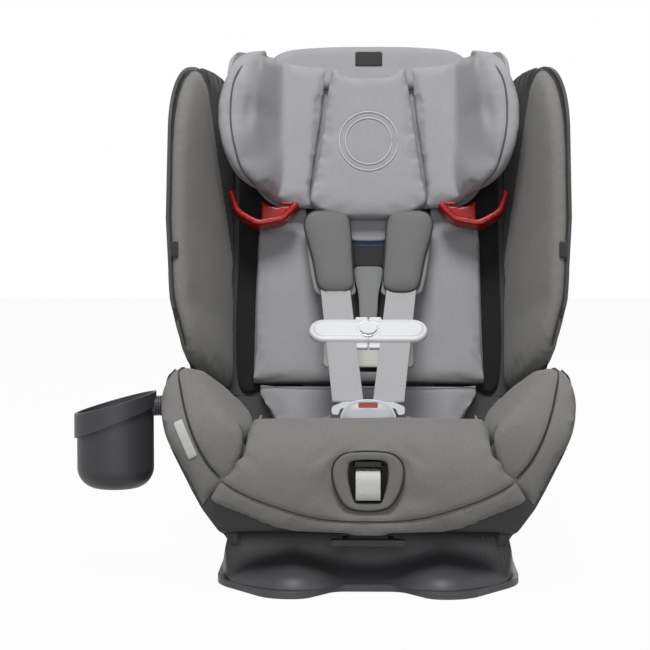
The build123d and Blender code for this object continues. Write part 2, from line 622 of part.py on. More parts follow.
def make_seat_covers(shell):
    arm_front = plate(
        (SHELL_FLOOR_WIDTH / 2 - 10, 128),
        (SHELL_FLOOR_WIDTH / 2 - 18, 178, 24),
        (SEAT_WIDTH / 2 - 62, 226, 60),
        (SEAT_WIDTH / 2 - 34, BOLSTER_TOP, 12),
        (SEAT_WIDTH / 2 - 14, BOLSTER_TOP + 1, 14),
        (SEAT_WIDTH / 2, 226, 50),
        (SEAT_WIDTH / 2 - 12, 172, 90),
        (SEAT_WIDTH / 2 - 52, 98),
        (SHELL_FLOOR_WIDTH / 2 + 22, 108),
    )
    arm_side = plate(
        (SEAT_FRONT_Y - 6, 96),
        (SEAT_FRONT_Y - 6, 190, 50),
        (SEAT_FRONT_Y + 50, BOLSTER_TOP + 2, 60),
        (SEAT_FRONT_Y + 140, BOLSTER_TOP - 8, 60),
        (SEAT_FRONT_Y + 214, 200, 20),
        (SEAT_FRONT_Y + 214, 96),
    )
    arm = lengthways(arm_front, -FAR, FAR) & sideways(arm_side, FAR)
    joint = BACK * (Pos(0, 0, BACK_START + FAR) * Box(3 * FAR, 3 * FAR, 2 * FAR))
    arm = arm - shell - joint
    arm = max(arm.solids(), key=lambda s: s.volume)
    keep("bolster_cover_right", arm)
    pocket = Pos(CUP_BUSH_X + 8, CUP_Y, CUP_PIVOT_Z) * Rot(0, 90, 0) * Cylinder(14, 18)
    keep("bolster_cover_left", flip(arm) - cup_bush(0.4) - pocket)

    front_face = mirrored(
        (20, 65),
        (110, 71, 160),
        (SHELL_FLOOR_WIDTH / 2 + 28, 108),
        (SHELL_FLOOR_WIDTH / 2 + 14, 133),
        (SHELL_FLOOR_WIDTH / 2 - 20, 180, 10),
        (SHELL_FLOOR_WIDTH / 2 - 24, 200),
    )
    cushion_side = plate(
        (SEAT_FRONT_Y - 10, 60),
        (SEAT_FRONT_Y - 14, 122, 90),
        (SEAT_FRONT_Y - 7, 168, 40),
        (SEAT_FRONT_Y + 24, 192, 50),
        (SEAT_FRONT_Y + 73, 197, 50),
        (SEAT_FRONT_Y + 130, 176, 30),
        (SEAT_FRONT_Y + 144, 100),
        (SEAT_FRONT_Y + 20, 100),
        (SEAT_FRONT_Y + 10, 60),
    )
    cushion = lengthways(front_face, -FAR, FAR) & sideways(cushion_side, FAR)
    cushion = cushion - shell - PARTS["bolster_cover_right"] - PARTS["bolster_cover_left"]
    cushion -= sideways(plate((SEAT_FRONT_Y + 4, 40), (SEAT_FRONT_Y + 4, 150, 20),
                              (SEAT_FRONT_Y + 40, 156), *[p for p in pan_line(2)[1:]],
                              (BIGHT_Y, 40)), FAR)
    pocket = Pos(0, SEAT_FRONT_Y - 20, ADJUSTER_Z) * Box(ADJUSTER_WIDTH + 1, 30, ADJUSTER_HEIGHT + 1)
    cushion -= rounded(pocket, Axis.Y, 24)
    hole = Pos(0, SEAT_FRONT_Y, ADJUSTER_Z) * Box(ADJUSTER_HOLE_W + 4, 70, ADJUSTER_HOLE_H + 4)
    cushion -= rounded(hole, Axis.Y, 12)
    cushion -= buckle_room()
    cushion = max(cushion.solids(), key=lambda s: s.volume)
    keep("seat_cushion", cushion)

    seat_liner_line = [(SEAT_FRONT_Y + 146, PAN_FRONT_Z - 6), (BIGHT_Y - 34, PAN_REAR_Z + 12),
                       back_point(-LINER_THICK / 2, 6), back_point(-LINER_THICK / 2, LINER_LOW)]
    liner = sideways(strip(seat_liner_line, LINER_THICK - 4, [60, 24]), LINER_WIDTH / 2 - 10)
    liner_front = mirrored((LINER_WIDTH / 2 - 40, 90), (LINER_WIDTH / 2 - 30, 160, 20),
                           (LINER_WIDTH / 2 - 1, 210, 10), (LINER_WIDTH / 2 - 1, 260))
    liner = liner & lengthways(liner_front, -FAR, FAR)
    liner = liner - shell - PARTS["bolster_cover_right"] - PARTS["bolster_cover_left"] - cushion
    liner -= buckle_room()
    liner -= Pos(0, CROTCH_Y, PAN_FRONT_Z) * rounded(Box(WEBBING + 6, 9, 120), Axis.Z, 3)
    for x in (-1, 1):
        liner -= Pos(x * (SHELL_FLOOR_WIDTH / 2 - 6), 78, 148) * Box(60, WEBBING + 6, 12)
    liner = max(liner.solids(), key=lambda s: s.volume)
    keep("seat_liner", liner)

    half = LINER_WIDTH / 2
    front = mirrored((half, LINER_LOW + 0.5), (half - 6, LINER_HIGH, 46), (SLOT_HALF - 2, LINER_HIGH, 18),
                     (SLOT_HALF - 2, SLOT_LOW - 4, 14), (LINER_SLOT, SLOT_LOW - 4, 14),
                     (LINER_SLOT, LINER_LOW + 16, 6))
    front = Plane.XZ * front
    back_liner = extrude(front, LINER_THICK)
    keep("back_liner", BACK * back_liner)


# ---------------------------------------------------------------- headrest
def head_section(inset):
    """Section across the headrest shell, in (x, d)."""
    corner = HEAD_WIDTH / 2 - 52
    front = HEAD_WIDTH / 2 - FABRIC - 2
    slope = (front - corner) / (HEAD_DEPTH + HEAD_BACK)
    reach = 2 * HEAD_DEPTH
    face = plate(
        (-corner - slope * reach, HEAD_BACK - reach),
        (-corner, HEAD_BACK, 34),
        (corner, HEAD_BACK, 34),
        (corner + slope * reach, HEAD_BACK - reach),
    )
    return offset(face, -inset) if inset else face


def head_front(inset, low):
    """The headrest seen from the front, in (x, h)."""
    half = HEAD_WIDTH / 2 - inset
    return mirrored(
        (HEAD_PANEL_HALF, low + inset, 6),
        (half - 56, low + 4 + inset, 34),
        (half - 12, HEAD_LOW + 56, 90),
        (half + 1, HEAD_LOW + 130, 70),
        (half - 8, HEAD_HIGH - inset, 48),
        (half - 70, HEAD_HIGH - inset, 60),
        (60, HEAD_HIGH - 8 - inset),
    )


def head_side(inset):
    """The headrest seen from the side, in (d, h)."""
    return plate(
        (-HEAD_DEPTH + inset, HEAD_LOW - 20),
        (-HEAD_DEPTH + inset, HEAD_HIGH - inset, 60),
        (10, HEAD_HIGH - inset),
        (10, HEAD_LOW - 20),
    )


def head_round(inset):
    """Takes the lower front corner off the headrest's side wings."""
    return plate((-HEAD_DEPTH - 20, HEAD_LOW - 40), (-HEAD_DEPTH + 90 + inset, HEAD_LOW - 40),
                 (-HEAD_DEPTH + 60 + inset, HEAD_LOW + inset, 20), (-HEAD_DEPTH + 14 + inset, HEAD_LOW + 46, 60),
                 (-HEAD_DEPTH - 20, HEAD_LOW + 120))


def along_depth(face):
    """Extrude an (x, h) face along the depth, in the back's own frame."""
    return extrude(Plane.XZ * face, FAR, both=True)


def make_headrest():
    trim = along_depth(head_front(FABRIC, HEAD_LOW + 14)) & sideways(head_side(FABRIC), FAR)
    trim -= sideways(head_round(FABRIC), FAR)
    shell = up_the_back(head_section(0), HEAD_LOW, HEAD_HIGH) - up_the_back(head_section(WALL), 0, 700)
    shell = shell & trim
    top = HEAD_LOW + 18
    neck = Box(36, 20 - HEAD_BACK, NECK_HEIGHT, align=(Align.CENTER, Align.MAX, Align.MAX))
    neck = Pos(0, 20, top) * neck
    tab = Pos(0, HEAD_BACK, top) * Box(60, 3, NECK_HEIGHT, align=(Align.CENTER, Align.MIN, Align.MAX))
    spine = Pos(0, 20, top) * Box(36, 6, top - BAR_H + 12, align=(Align.CENTER, Align.MAX, Align.MAX))
    bar = Pos(0, ROD_DEPTH, BAR_H) * Box(2 * ROD_X, 8, 24)
    carrier = neck + tab + spine + bar
    for x in (-1, 1):
        carrier += Pos(x * ROD_X, ROD_DEPTH, BAR_H) * Cylinder(ROD_RADIUS + 4, 50)
    for x in (-1, 1):
        carrier -= Pos(x * ROD_X, ROD_DEPTH, BAR_H) * Cylinder(ROD_RADIUS + ROD_CLEARANCE, 80)
        carrier -= Pos(x * (ROD_X - 19), ROD_DEPTH, BAR_H) * Box(34, 4.6, 10.6)
    keep("headrest_shell", BACK * (shell - neck))
    keep("headrest_carrier", BACK * (carrier - shell))

    pin = BACK * Pos(ROD_X - ROD_RADIUS - 10.4, ROD_DEPTH, BAR_H) * Box(20, 4, 10)
    keep("headrest_lock_pin_right", pin)
    keep("headrest_lock_pin_left", flip(pin))

    pad_face = mirrored(
        (24, HEAD_LOW - 3, 20),
        (HEAD_PANEL_HALF - 20, HEAD_LOW + 3, 60),
        (HEAD_PANEL_HALF - 1, HEAD_LOW + 17, 6),
        (HEAD_PANEL_HALF - 18, HEAD_LOW + 150, 300),
        (HEAD_PANEL_HALF - 26, HEAD_HIGH - 12, 4),
        (26, HEAD_HIGH - 24, 30),
    )
    pad = extrude(Plane.XZ.offset(-HEAD_BACK + WALL) * pad_face, HEAD_PAD)
    keep("headrest_centre_pad", BACK * pad)

    band = head_section(-FABRIC) - head_section(WALL + HEAD_SIDE_PAD)
    side = up_the_back(band, HEAD_LOW - 10, HEAD_HIGH) & along_depth(head_front(0, HEAD_LOW + 10))
    side = side & sideways(head_side(0), FAR)
    side -= sideways(head_round(0), FAR)
    behind = Pos(0, HEAD_BACK + FAR / 2 - WALL - 6, 0) * Box(3 * FAR, FAR, 3 * FAR)
    middle = extrude(Plane.XZ * plate(
        (-HEAD_PANEL_HALF, 0), (HEAD_PANEL_HALF, 0), (HEAD_PANEL_HALF, HEAD_LOW + 17),
        (HEAD_PANEL_HALF - 17, HEAD_LOW + 150), (HEAD_PANEL_HALF - 25, 700),
        (-HEAD_PANEL_HALF + 25, 700), (-HEAD_PANEL_HALF + 17, HEAD_LOW + 150),
        (-HEAD_PANEL_HALF, HEAD_LOW + 17)), FAR, both=True)
    side = side - shell - behind - middle
    right = max([s for s in side.solids() if s.center().X > 0], key=lambda s: s.volume)
    keep("headrest_side_pad_right", BACK * right)
    keep("headrest_side_pad_left", flip(BACK * right))

    rear_face = mirrored((60, HEAD_HIGH - 70, 10), (HEAD_WIDTH / 2 - 60, HEAD_HIGH - 60, 20),
                         (HEAD_WIDTH / 2 - 66, HEAD_HIGH - 6, 26))
    rear = extrude(Plane.XZ.offset(-HEAD_BACK - FABRIC) * rear_face, FABRIC)
    keep("headrest_rear_cover", BACK * rear)

    grip = Pos(0, HEAD_BACK + FABRIC + 6, HEAD_HIGH - 38) * rounded(Box(86, 11, 30), Axis.Y, 10)
    finger = Pos(0, HEAD_BACK + FABRIC + 6, HEAD_HIGH - 40) * rounded(Box(60, 20, 12), Axis.Y, 5)
    keep("headrest_handle", BACK * (grip - finger))
    flap = Pos(0, -LINER_THICK - 4, HEAD_LOW + 8) * Box(50, 2, 34, align=(Align.CENTER, Align.MAX, Align.MAX))
    tag = Pos(0, -LINER_THICK - 2, HEAD_LOW - 22) * Box(43, 1.2, 66, align=(Align.CENTER, Align.MAX, Align.MAX))
    keep("headrest_flap", BACK * flap)
    keep("harness_tag", BACK * tag)
    make_belt_guides()


def make_belt_guides():
    """The hooks under the headrest that guide a vehicle shoulder belt."""
    hook = strip(
        [(HEAD_WIDTH / 2 - 10, HEAD_LOW + 28), (HEAD_WIDTH / 2 - 18, HEAD_LOW + 2),
         (HEAD_WIDTH / 2 - 44, HEAD_LOW - 14), (HEAD_WIDTH / 2 - 76, HEAD_LOW - 8),
         (HEAD_WIDTH / 2 - 94, HEAD_LOW + 12)], 7, [20, 18, 20])
    body = extrude(Plane.XZ.offset(-HEAD_BACK + 22) * hook, 30)
    web = plate((HEAD_WIDTH / 2 - 76, HEAD_LOW - 8), (HEAD_WIDTH / 2 - 48, HEAD_LOW - 12),
                (HEAD_WIDTH / 2 - 48, HEAD_LOW + 20), (HEAD_WIDTH / 2 - 92, HEAD_LOW + 20),
                (HEAD_WIDTH / 2 - 94, HEAD_LOW + 12))
    body += extrude(Plane.XZ.offset(-HEAD_BACK + 22) * web, 5)
    body = BACK * body
    body = body - PARTS["headrest_side_pad_right"] - PARTS["headrest_shell"]
    body = max(body.solids(), key=lambda s: s.volume)
    keep("belt_guide_right", body)
    keep("belt_guide_left", flip(body))


# ---------------------------------------------------------------- harness
def strap_band(grow):
    """The right shoulder strap seen from the front, in (x, z)."""
    half = WEBBING / 2 + grow
    top_y, top_z = back_point(-LINER_THICK, SHOULDER_H)
    levels = [(TONGUE_X, TONGUE_Z - 30), (TONGUE_X, TONGUE_Z), (PAD_LOW_X, PAD_LOW[1]),
              (PAD_HIGH_X, top_z - 14), (PAD_HIGH_X, top_z + 60)]
    return plate(*[(x + half, z) for x, z in levels], *[(x - half, z) for x, z in reversed(levels)])


def strap_line():
    """Side view of a shoulder strap, from the tongue to its rear end behind the back."""
    return [
        (TONGUE_Y + STRAP_START * RUN_Y, TONGUE_Z + STRAP_START * RUN_Z),
        PAD_LOW,
        back_point(-LINER_THICK - 27, SHOULDER_H + 1),
        back_point(-12, SHOULDER_H),
        back_point(11, SHOULDER_H - 6),
        back_point(11, SPLITTER_H + 9),
        back_point(19, SPLITTER_H + 9),
    ]


def clip_frame():
    y, z = TONGUE_Y + CLIP_ALONG * RUN_Y, TONGUE_Z + CLIP_ALONG * RUN_Z
    return Plane(origin=(0, y, z), x_dir=(1, 0, 0), z_dir=(0, -RUN_Z, RUN_Y)).location


def tongue_frame():
    return Pos(0, BUCKLE_Y, BUCKLE_Z) * Rot(-BUCKLE_LEAN, 0, 0)


def make_shoulder_straps():
    line = strap_line()
    front = sideways(strip(line[:5], WEB_THICK, [40, 10, 8]), FAR)
    front = front & lengthways(strap_band(0), -FAR, FAR)
    rear = Pos(PAD_HIGH_X, 0, 0) * sideways(strip(line[3:], WEB_THICK, [6, 3]), WEBBING / 2)
    strap = front + rear
    strap = max(strap.solids(), key=lambda s: s.volume)
    keep("shoulder_strap_right", strap)
    keep("shoulder_strap_left", flip(strap))

    splitter = rounded(Box(2 * PAD_HIGH_X + WEBBING + 10, 3, 40), Axis.Y, 8)
    for x in (-1, 1):
        splitter -= Pos(x * PAD_HIGH_X, 0, 9) * Box(WEBBING + 3, 10, 8)
    splitter -= Pos(0, 0, -11) * Box(ADJUSTER_WEB + 3, 10, 8)
    keep("harness_splitter_plate", BACK * (Pos(0, 15, SPLITTER_H) * splitter))


def make_shoulder_pads():
    line = strap_line()[:4]
    a, b = line[1], line[2]
    run = hypot(b[0] - a[0], b[1] - a[1])
    along = ((b[0] - a[0]) / run, (b[1] - a[1]) / run)
    low = (a[0] + along[0] * 6, a[1] + along[1] * 6)
    high = (low[0] + along[0] * PAD_LENGTH, low[1] + along[1] * PAD_LENGTH)
    body = sideways(strip([low, high], PAD_THICK, []), FAR)
    hole = sideways(strip(strap_line()[:5], WEB_THICK + 2.4, [40, 10, 8]), FAR)
    half = PAD_WIDTH / 2
    top_z = back_point(-LINER_THICK, SHOULDER_H)[1] - 14
    outline = plate(
        (PAD_LOW_X - half + 2, PAD_LOW[1] - 20),
        (PAD_LOW_X + half + 2, PAD_LOW[1] - 20),
        (PAD_HIGH_X + half, top_z + 10),
        (PAD_HIGH_X - half, top_z + 10),
    )
    body = body & lengthways(outline, -FAR, FAR)
    body -= hole & lengthways(strap_band(1.2), -FAR, FAR)
    clear = BACK * (Pos(0, FAR / 2 - LINER_THICK - 5, 0) * Box(3 * FAR, FAR, 3 * FAR))
    above = BACK * (Pos(0, 0, HEAD_LOW - 6 + FAR / 2) * Box(3 * FAR, 3 * FAR, FAR))
    body = body - clear - above
    body = max(body.solids(), key=lambda s: s.volume)
    keep("shoulder_pad_right", body)
    keep("shoulder_pad_left", flip(body))


def make_chest_clip():
    body = Box(CLIP_WIDTH, CLIP_HEIGHT, CLIP_THICK)
    body = rounded(body, Axis.Z, CLIP_HEIGHT / 2 - 0.5)
    tab = Pos(0, 0, -3) * rounded(Box(26, CLIP_HEIGHT + 9, 7), Axis.Z, 3)
    body += tab
    lean = (PAD_LOW_X - TONGUE_X) / STRAP_RUN
    centre = TONGUE_X + lean * CLIP_ALONG
    width = WEBBING + 2 * (1.2 + lean * (CLIP_DOWN + CLIP_HEIGHT / 2))
    for x in (-1, 1):
        body -= Pos(x * centre, 0, 0) * Box(width, CLIP_HEIGHT + 20, WEB_THICK + 2.2)
    well = Pos(0, 0, CLIP_THICK / 2) * Cylinder(CLIP_BUTTON_RADIUS + 0.4, 2 * (CLIP_PRESS + 3))
    body -= well
    half = Box(CLIP_WIDTH, 100, 60, align=(Align.MIN, Align.CENTER, Align.CENTER))
    right = body & (Pos(0.2, 0, 0) * half)
    left = body & (Pos(-0.2, 0, 0) * Rot(0, 0, 180) * half)
    frame = clip_frame()
    keep("chest_clip_right", frame * right)
    keep("chest_clip_left", frame * left)
    button = Cylinder(CLIP_BUTTON_RADIUS, 4.2, align=STANDING)
    button = Pos(0, 0, CLIP_THICK / 2 - 3) * button
    keep("chest_clip_button", frame * button)


def make_buckle():
    frame = tongue_frame()
    half = BUCKLE_WIDTH / 2
    low = -BUCKLE_HEIGHT
    front = -BUCKLE_THICK / 2
    body = Pos(0, 0, low) * rounded(
        Box(BUCKLE_WIDTH, BUCKLE_THICK, BUCKLE_HEIGHT, align=STANDING), Axis.Y, 9)
    dome = mirrored((half - 12, low / 2), (half - 2, -8, 10), (half - 16, BUCKLE_DOME - 3, 18),
                    (8, BUCKLE_DOME, 30))
    dome = extrude(Plane.XZ.offset(-front - 10) * dome, 12)
    body = body + dome
    body -= Pos(0, 1, -16) * Box(48.6, 5.2, 36)
    body -= Pos(0, front - 1, BUCKLE_DOME - 6.5) * Box(23, 18, 7)
    body -= Pos(0, 0, low) * Box(WEBBING + 2, 5, 16)
    keep("buckle_body", frame * body)

    button = Pos(0, front + 0.5, BUCKLE_DOME - 6.5) * rounded(Box(22, 5, 6), Axis.Y, 2)
    keep("buckle_button", frame * button)

    side = Pos(0.3, 0, 0) * Box(200, 100, 100, align=(Align.MIN, Align.CENTER, Align.CENTER))
    blade = Pos(12.2, 1, -10) * Box(23.6, 3, 24) - Pos(12.2, 1, -15) * Box(9, 6, 7)
    head = plate((1, 1), (half - 2, 1, 3), (half + 1, -7, 2.5), (half + 9, -6, 3.5), (half + 9, 3, 4),
                 (30, 9, 12), (1, 9))
    head = extrude(Plane.XZ.offset(-7) * head, 10) & side
    tongue = (blade + head) & side
    ends = [(TONGUE_Y + t * RUN_Y, TONGUE_Z + t * RUN_Z) for t in (STRAP_START - 1.5, 40)]
    slot = sideways_from(strip(ends, WEB_THICK + 1.4, []), TONGUE_X - WEBBING / 2 - 0.6, 90)
    tongue -= frame.inverse() * slot
    tongue = max(tongue.solids(), key=lambda s: s.volume)
    keep("buckle_tongue_right", frame * tongue)
    keep("buckle_tongue_left", flip(frame * tongue))

    strap_top = (frame * Pos(0, 0, low + 7)).position
    y = CROTCH_Y
    under = PAN_FRONT_Z - 28
    route = [(y, under - 9), (y, PAN_FRONT_Z - 8), (strap_top.Y, strap_top.Z)]
    strap = sideways(strip(route, 2.4, [20]), WEBBING / 2)
    fold = Pos(0, y, under - 7) * Box(WEBBING, 9, 4)
    keep("crotch_strap", strap + fold)
    anchor = Pos(0, y, under - 2.5) * (Box(WEBBING + 16, 22, 3) - Box(WEBBING + 1, 4, 10))
    keep("crotch_strap_anchor", anchor)


def make_lap_straps():
    """Webbing on edge, from beside the tongues down over the liner to the slots by the hips."""
    hip_x, hip_y = SHELL_FLOOR_WIDTH / 2 - 22, 78.0
    start = (BUCKLE_WIDTH / 2 + 11, BUCKLE_Y)
    plan = strip([start, (start[0] + 22, start[1] + 16), (hip_x, hip_y - 34), (hip_x, hip_y + 14)],
                 WEB_THICK, [30, 20])
    fall = plate((start[0] - 2, BUCKLE_Z - 6), (start[0] - 2, BUCKLE_Z - 22), (start[0] + 26, PAN_FRONT_Z - 8),
                 (hip_x + 20, PAN_FRONT_Z - 22), (hip_x + 20, PAN_FRONT_Z + 12), (start[0] + 26, PAN_FRONT_Z + 16))
    strap = upwards(plan, 0, 400) & lengthways(fall, -FAR, FAR)
    for piece in ("seat_shell", "seat_liner", "bolster_cover_right", "seat_cushion"):
        strap -= PARTS[piece]
    strap = max(strap.solids(), key=lambda s: s.volume)
    keep("lap_strap_right", strap)
    keep("lap_strap_left", flip(strap))


# ---------------------------------------------------------------- harness adjuster
def adjuster_line():
    """Side view of the adjuster webbing, from its hanging front loop to the splitter plate."""
    return [
        (ADJUSTER_Y + 4, ADJUSTER_Z + 8),
        (SEAT_FRONT_Y + 40, ADJUSTER_Z + 8),
        (SEAT_FRONT_Y + 90, PAN_FRONT_Z - 48),
        (BIGHT_Y - 26, PAN_REAR_Z - 20),
        back_point(9, -14),
        back_point(11, SPLITTER_H - 11),
        back_point(19, SPLITTER_H - 11),
    ]


def make_adjuster():
    y = ADJUSTER_Y
    ring = Box(ADJUSTER_WIDTH, 5, ADJUSTER_HEIGHT)
    ring = rounded(ring, Axis.Y, 24)
    hole = rounded(Box(ADJUSTER_HOLE_W, 40, ADJUSTER_HOLE_H), Axis.Y, 11)
    keep("adjuster_bezel", Pos(0, y - 2, ADJUSTER_Z) * (ring - hole))

    cup = rounded(Box(ADJUSTER_HOLE_W + 3, ADJUSTER_DEPTH, ADJUSTER_HOLE_H + 3), Axis.Y, 11.5)
    inner = rounded(Box(ADJUSTER_HOLE_W, ADJUSTER_DEPTH, ADJUSTER_HOLE_H), Axis.Y, 10)
    cup -= Pos(0, -2, 0) * inner
    cup -= Pos(0, ADJUSTER_DEPTH / 2, 8) * Box(ADJUSTER_WEB + 4, 20, 6)
    cup = Pos(0, y + 0.6 + ADJUSTER_DEPTH / 2, ADJUSTER_Z) * cup
    keep("adjuster_housing", cup)

    lever = rounded(Box(ADJUSTER_HOLE_W - 12, 14, 6), Axis.Z, 2)
    pin = Pos(0, 5, 0) * Rot(0, 90, 0) * Cylinder(LEVER_PIN_RADIUS, ADJUSTER_HOLE_W - 5)
    keep("adjuster_lever", Pos(0, y + 14, ADJUSTER_Z + ADJUSTER_HOLE_H / 2 - 6) * (lever + pin))

    loop = [(y + 8, ADJUSTER_Z - 19), (y - 9, ADJUSTER_Z - 15), (y - 8, ADJUSTER_Z + 7)]
    strap = sideways(strip(loop + adjuster_line(), WEB_THICK, [4, 7, 4, 30, 40, 40, 12, 3]), ADJUSTER_WEB / 2)
    keep("adjuster_strap", strap)


# ---------------------------------------------------------------- recline handle and latch
def make_recline_handle():
    """The pull under the front edge; slanted slots at its rear end lift the latch."""
    y = SEAT_FRONT_Y
    grip = Pos(0, y + 2, HANDLE_Z) * rounded(Box(HANDLE_WIDTH, 12, 7), Axis.Y, 3)
    rise = y + HANDLE_PULL + 22            # stays clear of the front wall when the handle is pulled
    link = strip([(y + 2, HANDLE_Z), (rise - 5, HANDLE_Z), (rise, LINK_Z), (RECLINE_Y - 12, LINK_Z)], 5, [4, 4])
    slot_run = LATCH_LIFT / HANDLE_PULL
    end = plate((RECLINE_Y - 22, LINK_Z - 12, 3), (RECLINE_Y + 22, LINK_Z - 12, 3),
                (RECLINE_Y + 22, LINK_Z + 14, 3), (RECLINE_Y - 22, LINK_Z + 14, 3))
    slot = strip([(RECLINE_Y - 3, LINK_Z - 3 * slot_run), (RECLINE_Y + 16, LINK_Z + 16 * slot_run)], 6.6, [])
    handle = grip
    for x in (-LATCH_GUIDE / 2 - 5, LATCH_GUIDE / 2 + 5):
        handle += Pos(x, 0, 0) * sideways(link, 3)
        handle += Pos(x, 0, 0) * sideways(end - slot, 2)
    keep("recline_handle", handle)

    latch = Box(RACK_WIDTH - 2, 6, LINK_Z + 6 - (RECLINE_Z - RACK_TOP) - 0.8,
                align=STANDING)
    latch = Pos(0, RECLINE_Y, RECLINE_Z - RACK_TOP + 0.8) * latch
    pin = Pos(0, RECLINE_Y, LINK_Z) * Rot(0, 90, 0) * Cylinder(2.6, LATCH_GUIDE + 18)
    keep("recline_latch", latch + pin)


# ---------------------------------------------------------------- cup holder
def tilted_above(z, degrees_up):
    """Everything above a plane through the cup's axis at z, rising towards the seat."""
    block = Box(400, 400, 400, align=STANDING)
    return Pos(CUP_X, CUP_Y, z) * Rot(0, -degrees_up, 0) * block


def cross_cylinder(radius, x0, x1):
    """A cylinder on the cup holder's pivot line."""
    return Pos((x0 + x1) / 2, CUP_Y, CUP_PIVOT_Z) * Rot(0, 90, 0) * Cylinder(radius, x1 - x0)


def cup_bush(grow):
    """The bush in the side of the seat that the cup holder's pin turns in."""
    barrel = cross_cylinder(9 + grow, CUP_BUSH_X - 6, CUP_BUSH_X + 10)
    flange = cross_cylinder(12 + grow, CUP_BUSH_X - 6, CUP_BUSH_X - 2.2 + grow)
    lip = cross_cylinder(11 + grow, CUP_BUSH_X + 6.5 - grow, CUP_BUSH_X + 10)
    return barrel + flange + lip


def make_cup_holder():
    height = CUP_RIM_Z - CUP_FLOOR_Z + 30
    outer = Cylinder(CUP_RADIUS, height, align=STANDING)
    outer = fillet(outer.edges().sort_by(Axis.Z)[0], CUP_RADIUS * 0.55)
    inner = Cylinder(CUP_RADIUS - CUP_WALL, height, align=STANDING)
    inner = fillet(inner.edges().sort_by(Axis.Z)[0], CUP_RADIUS * 0.5)
    cup = outer - Pos(0, 0, CUP_WALL) * inner
    cup = Pos(CUP_X, CUP_Y, CUP_FLOOR_Z) * cup
    cup -= tilted_above(CUP_RIM_Z - 4, CUP_RIM_TILT)

    band = Cylinder(CUP_RADIUS + 3.2, 90) - Cylinder(CUP_RADIUS, 100)
    band = Pos(CUP_X, CUP_Y, CUP_RIM_Z) * band
    band = band & tilted_above(CUP_RIM_Z - 23, CUP_BAND_TILT)
    band = band - tilted_above(CUP_RIM_Z, CUP_RIM_TILT)
    band = max(band.solids(), key=lambda s: s.volume)

    keep("cup_holder", cup)

    start = CUP_X + CUP_RADIUS
    stop = CUP_BUSH_X - CUP_COLLAR
    stem = cross_cylinder(12, start - 5, stop)
    for x in (stop - 1.5, stop - 4.0):     # ribs
        stem -= cross_cylinder(13, x - 1.2, x) - cross_cylinder(10.8, x - 2, x + 1)
    stem = stem - Pos(CUP_X, CUP_Y, CUP_RIM_Z) * Cylinder(CUP_RADIUS, 300)
    pin = cross_cylinder(CUP_PIVOT_RADIUS, stop - 1, CUP_BUSH_X + 11)
    keep("cup_ring", band + stem + pin)
    bush = cup_bush(0) - cross_cylinder(CUP_PIVOT_RADIUS + ROD_CLEARANCE, start, 0)
    keep("cup_bracket", bush)


# ---------------------------------------------------------------- small fittings
def make_fittings():
    """Blank sewn tags on the covers, and the screws that join the back to the seat."""
    y = SEAT_FRONT_Y - 7.2
    tags = Pos(-(SEAT_WIDTH / 2 - 32), y, 176) * Rot(0, -22, 0) * Box(11, 1.2, 48)
    for x in (-1, 1):
        tag = Pos(x * (WING_WIDTH / 2 - 16), -WING_DEPTH - 0.6, 165) * Box(9, 1.2, 20)
        tags += BACK * tag
    keep("cover_tags", tags)
    screws = Part()
    for x in (-1, 1):
        for h in (30, 52):
            head = Pos(0, 0, -1.2) * Cylinder(SCREW_HEAD, 2.4)
            shank = Pos(0, 0, 3.4) * Cylinder(SCREW_RADIUS - 0.1, 7)
            screws += Pos(x * 120, 2 * WALL, h) * Rot(90, 0, 0) * (head + shank)
    keep("back_screws", BACK * screws)


def main():
    make_base()
    make_tracks()
    shell = make_seat_shell()
    make_back()
    make_seat_covers(shell)
    make_headrest()
    make_shoulder_straps()
    make_shoulder_pads()
    make_chest_clip()
    make_buckle()
    make_lap_straps()
    make_adjuster()
    make_recline_handle()
    make_cup_holder()
    make_fittings()
    os.makedirs("parts", exist_ok=True)
    for name, shape in PARTS.items():
        export_step(shape, f"parts/{name}.step")


main()
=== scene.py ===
"""Looks for the convertible car seat: fabric covers, harness webbing, moulded plastics and a plain studio."""
import json
from math import cos, pi, radians, sin, sqrt

import bmesh
import bpy
import numpy as np
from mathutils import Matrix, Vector
from mathutils.bvhtree import BVHTree
from mathutils.kdtree import KDTree

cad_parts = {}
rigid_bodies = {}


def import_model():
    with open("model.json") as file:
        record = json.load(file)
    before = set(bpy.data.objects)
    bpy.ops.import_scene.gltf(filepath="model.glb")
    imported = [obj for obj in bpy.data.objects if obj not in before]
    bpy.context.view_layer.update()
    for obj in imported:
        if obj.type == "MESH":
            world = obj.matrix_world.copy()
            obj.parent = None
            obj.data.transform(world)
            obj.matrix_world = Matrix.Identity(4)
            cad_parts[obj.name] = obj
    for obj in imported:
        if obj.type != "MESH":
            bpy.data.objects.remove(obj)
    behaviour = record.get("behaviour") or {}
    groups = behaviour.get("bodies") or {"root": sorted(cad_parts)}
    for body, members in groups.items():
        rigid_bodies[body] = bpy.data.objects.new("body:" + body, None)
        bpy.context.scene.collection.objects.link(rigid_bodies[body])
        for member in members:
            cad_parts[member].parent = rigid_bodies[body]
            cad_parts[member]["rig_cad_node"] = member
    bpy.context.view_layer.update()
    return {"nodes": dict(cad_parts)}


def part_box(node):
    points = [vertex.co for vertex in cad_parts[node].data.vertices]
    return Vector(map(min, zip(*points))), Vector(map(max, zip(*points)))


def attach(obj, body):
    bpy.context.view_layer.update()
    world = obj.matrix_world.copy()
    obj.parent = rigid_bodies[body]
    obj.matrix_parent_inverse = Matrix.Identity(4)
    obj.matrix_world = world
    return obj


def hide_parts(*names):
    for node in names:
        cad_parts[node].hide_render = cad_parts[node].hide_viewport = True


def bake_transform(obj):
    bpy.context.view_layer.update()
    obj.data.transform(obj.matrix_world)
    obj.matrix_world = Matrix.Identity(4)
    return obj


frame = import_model()
NODES = frame["nodes"]
MM = 0.001

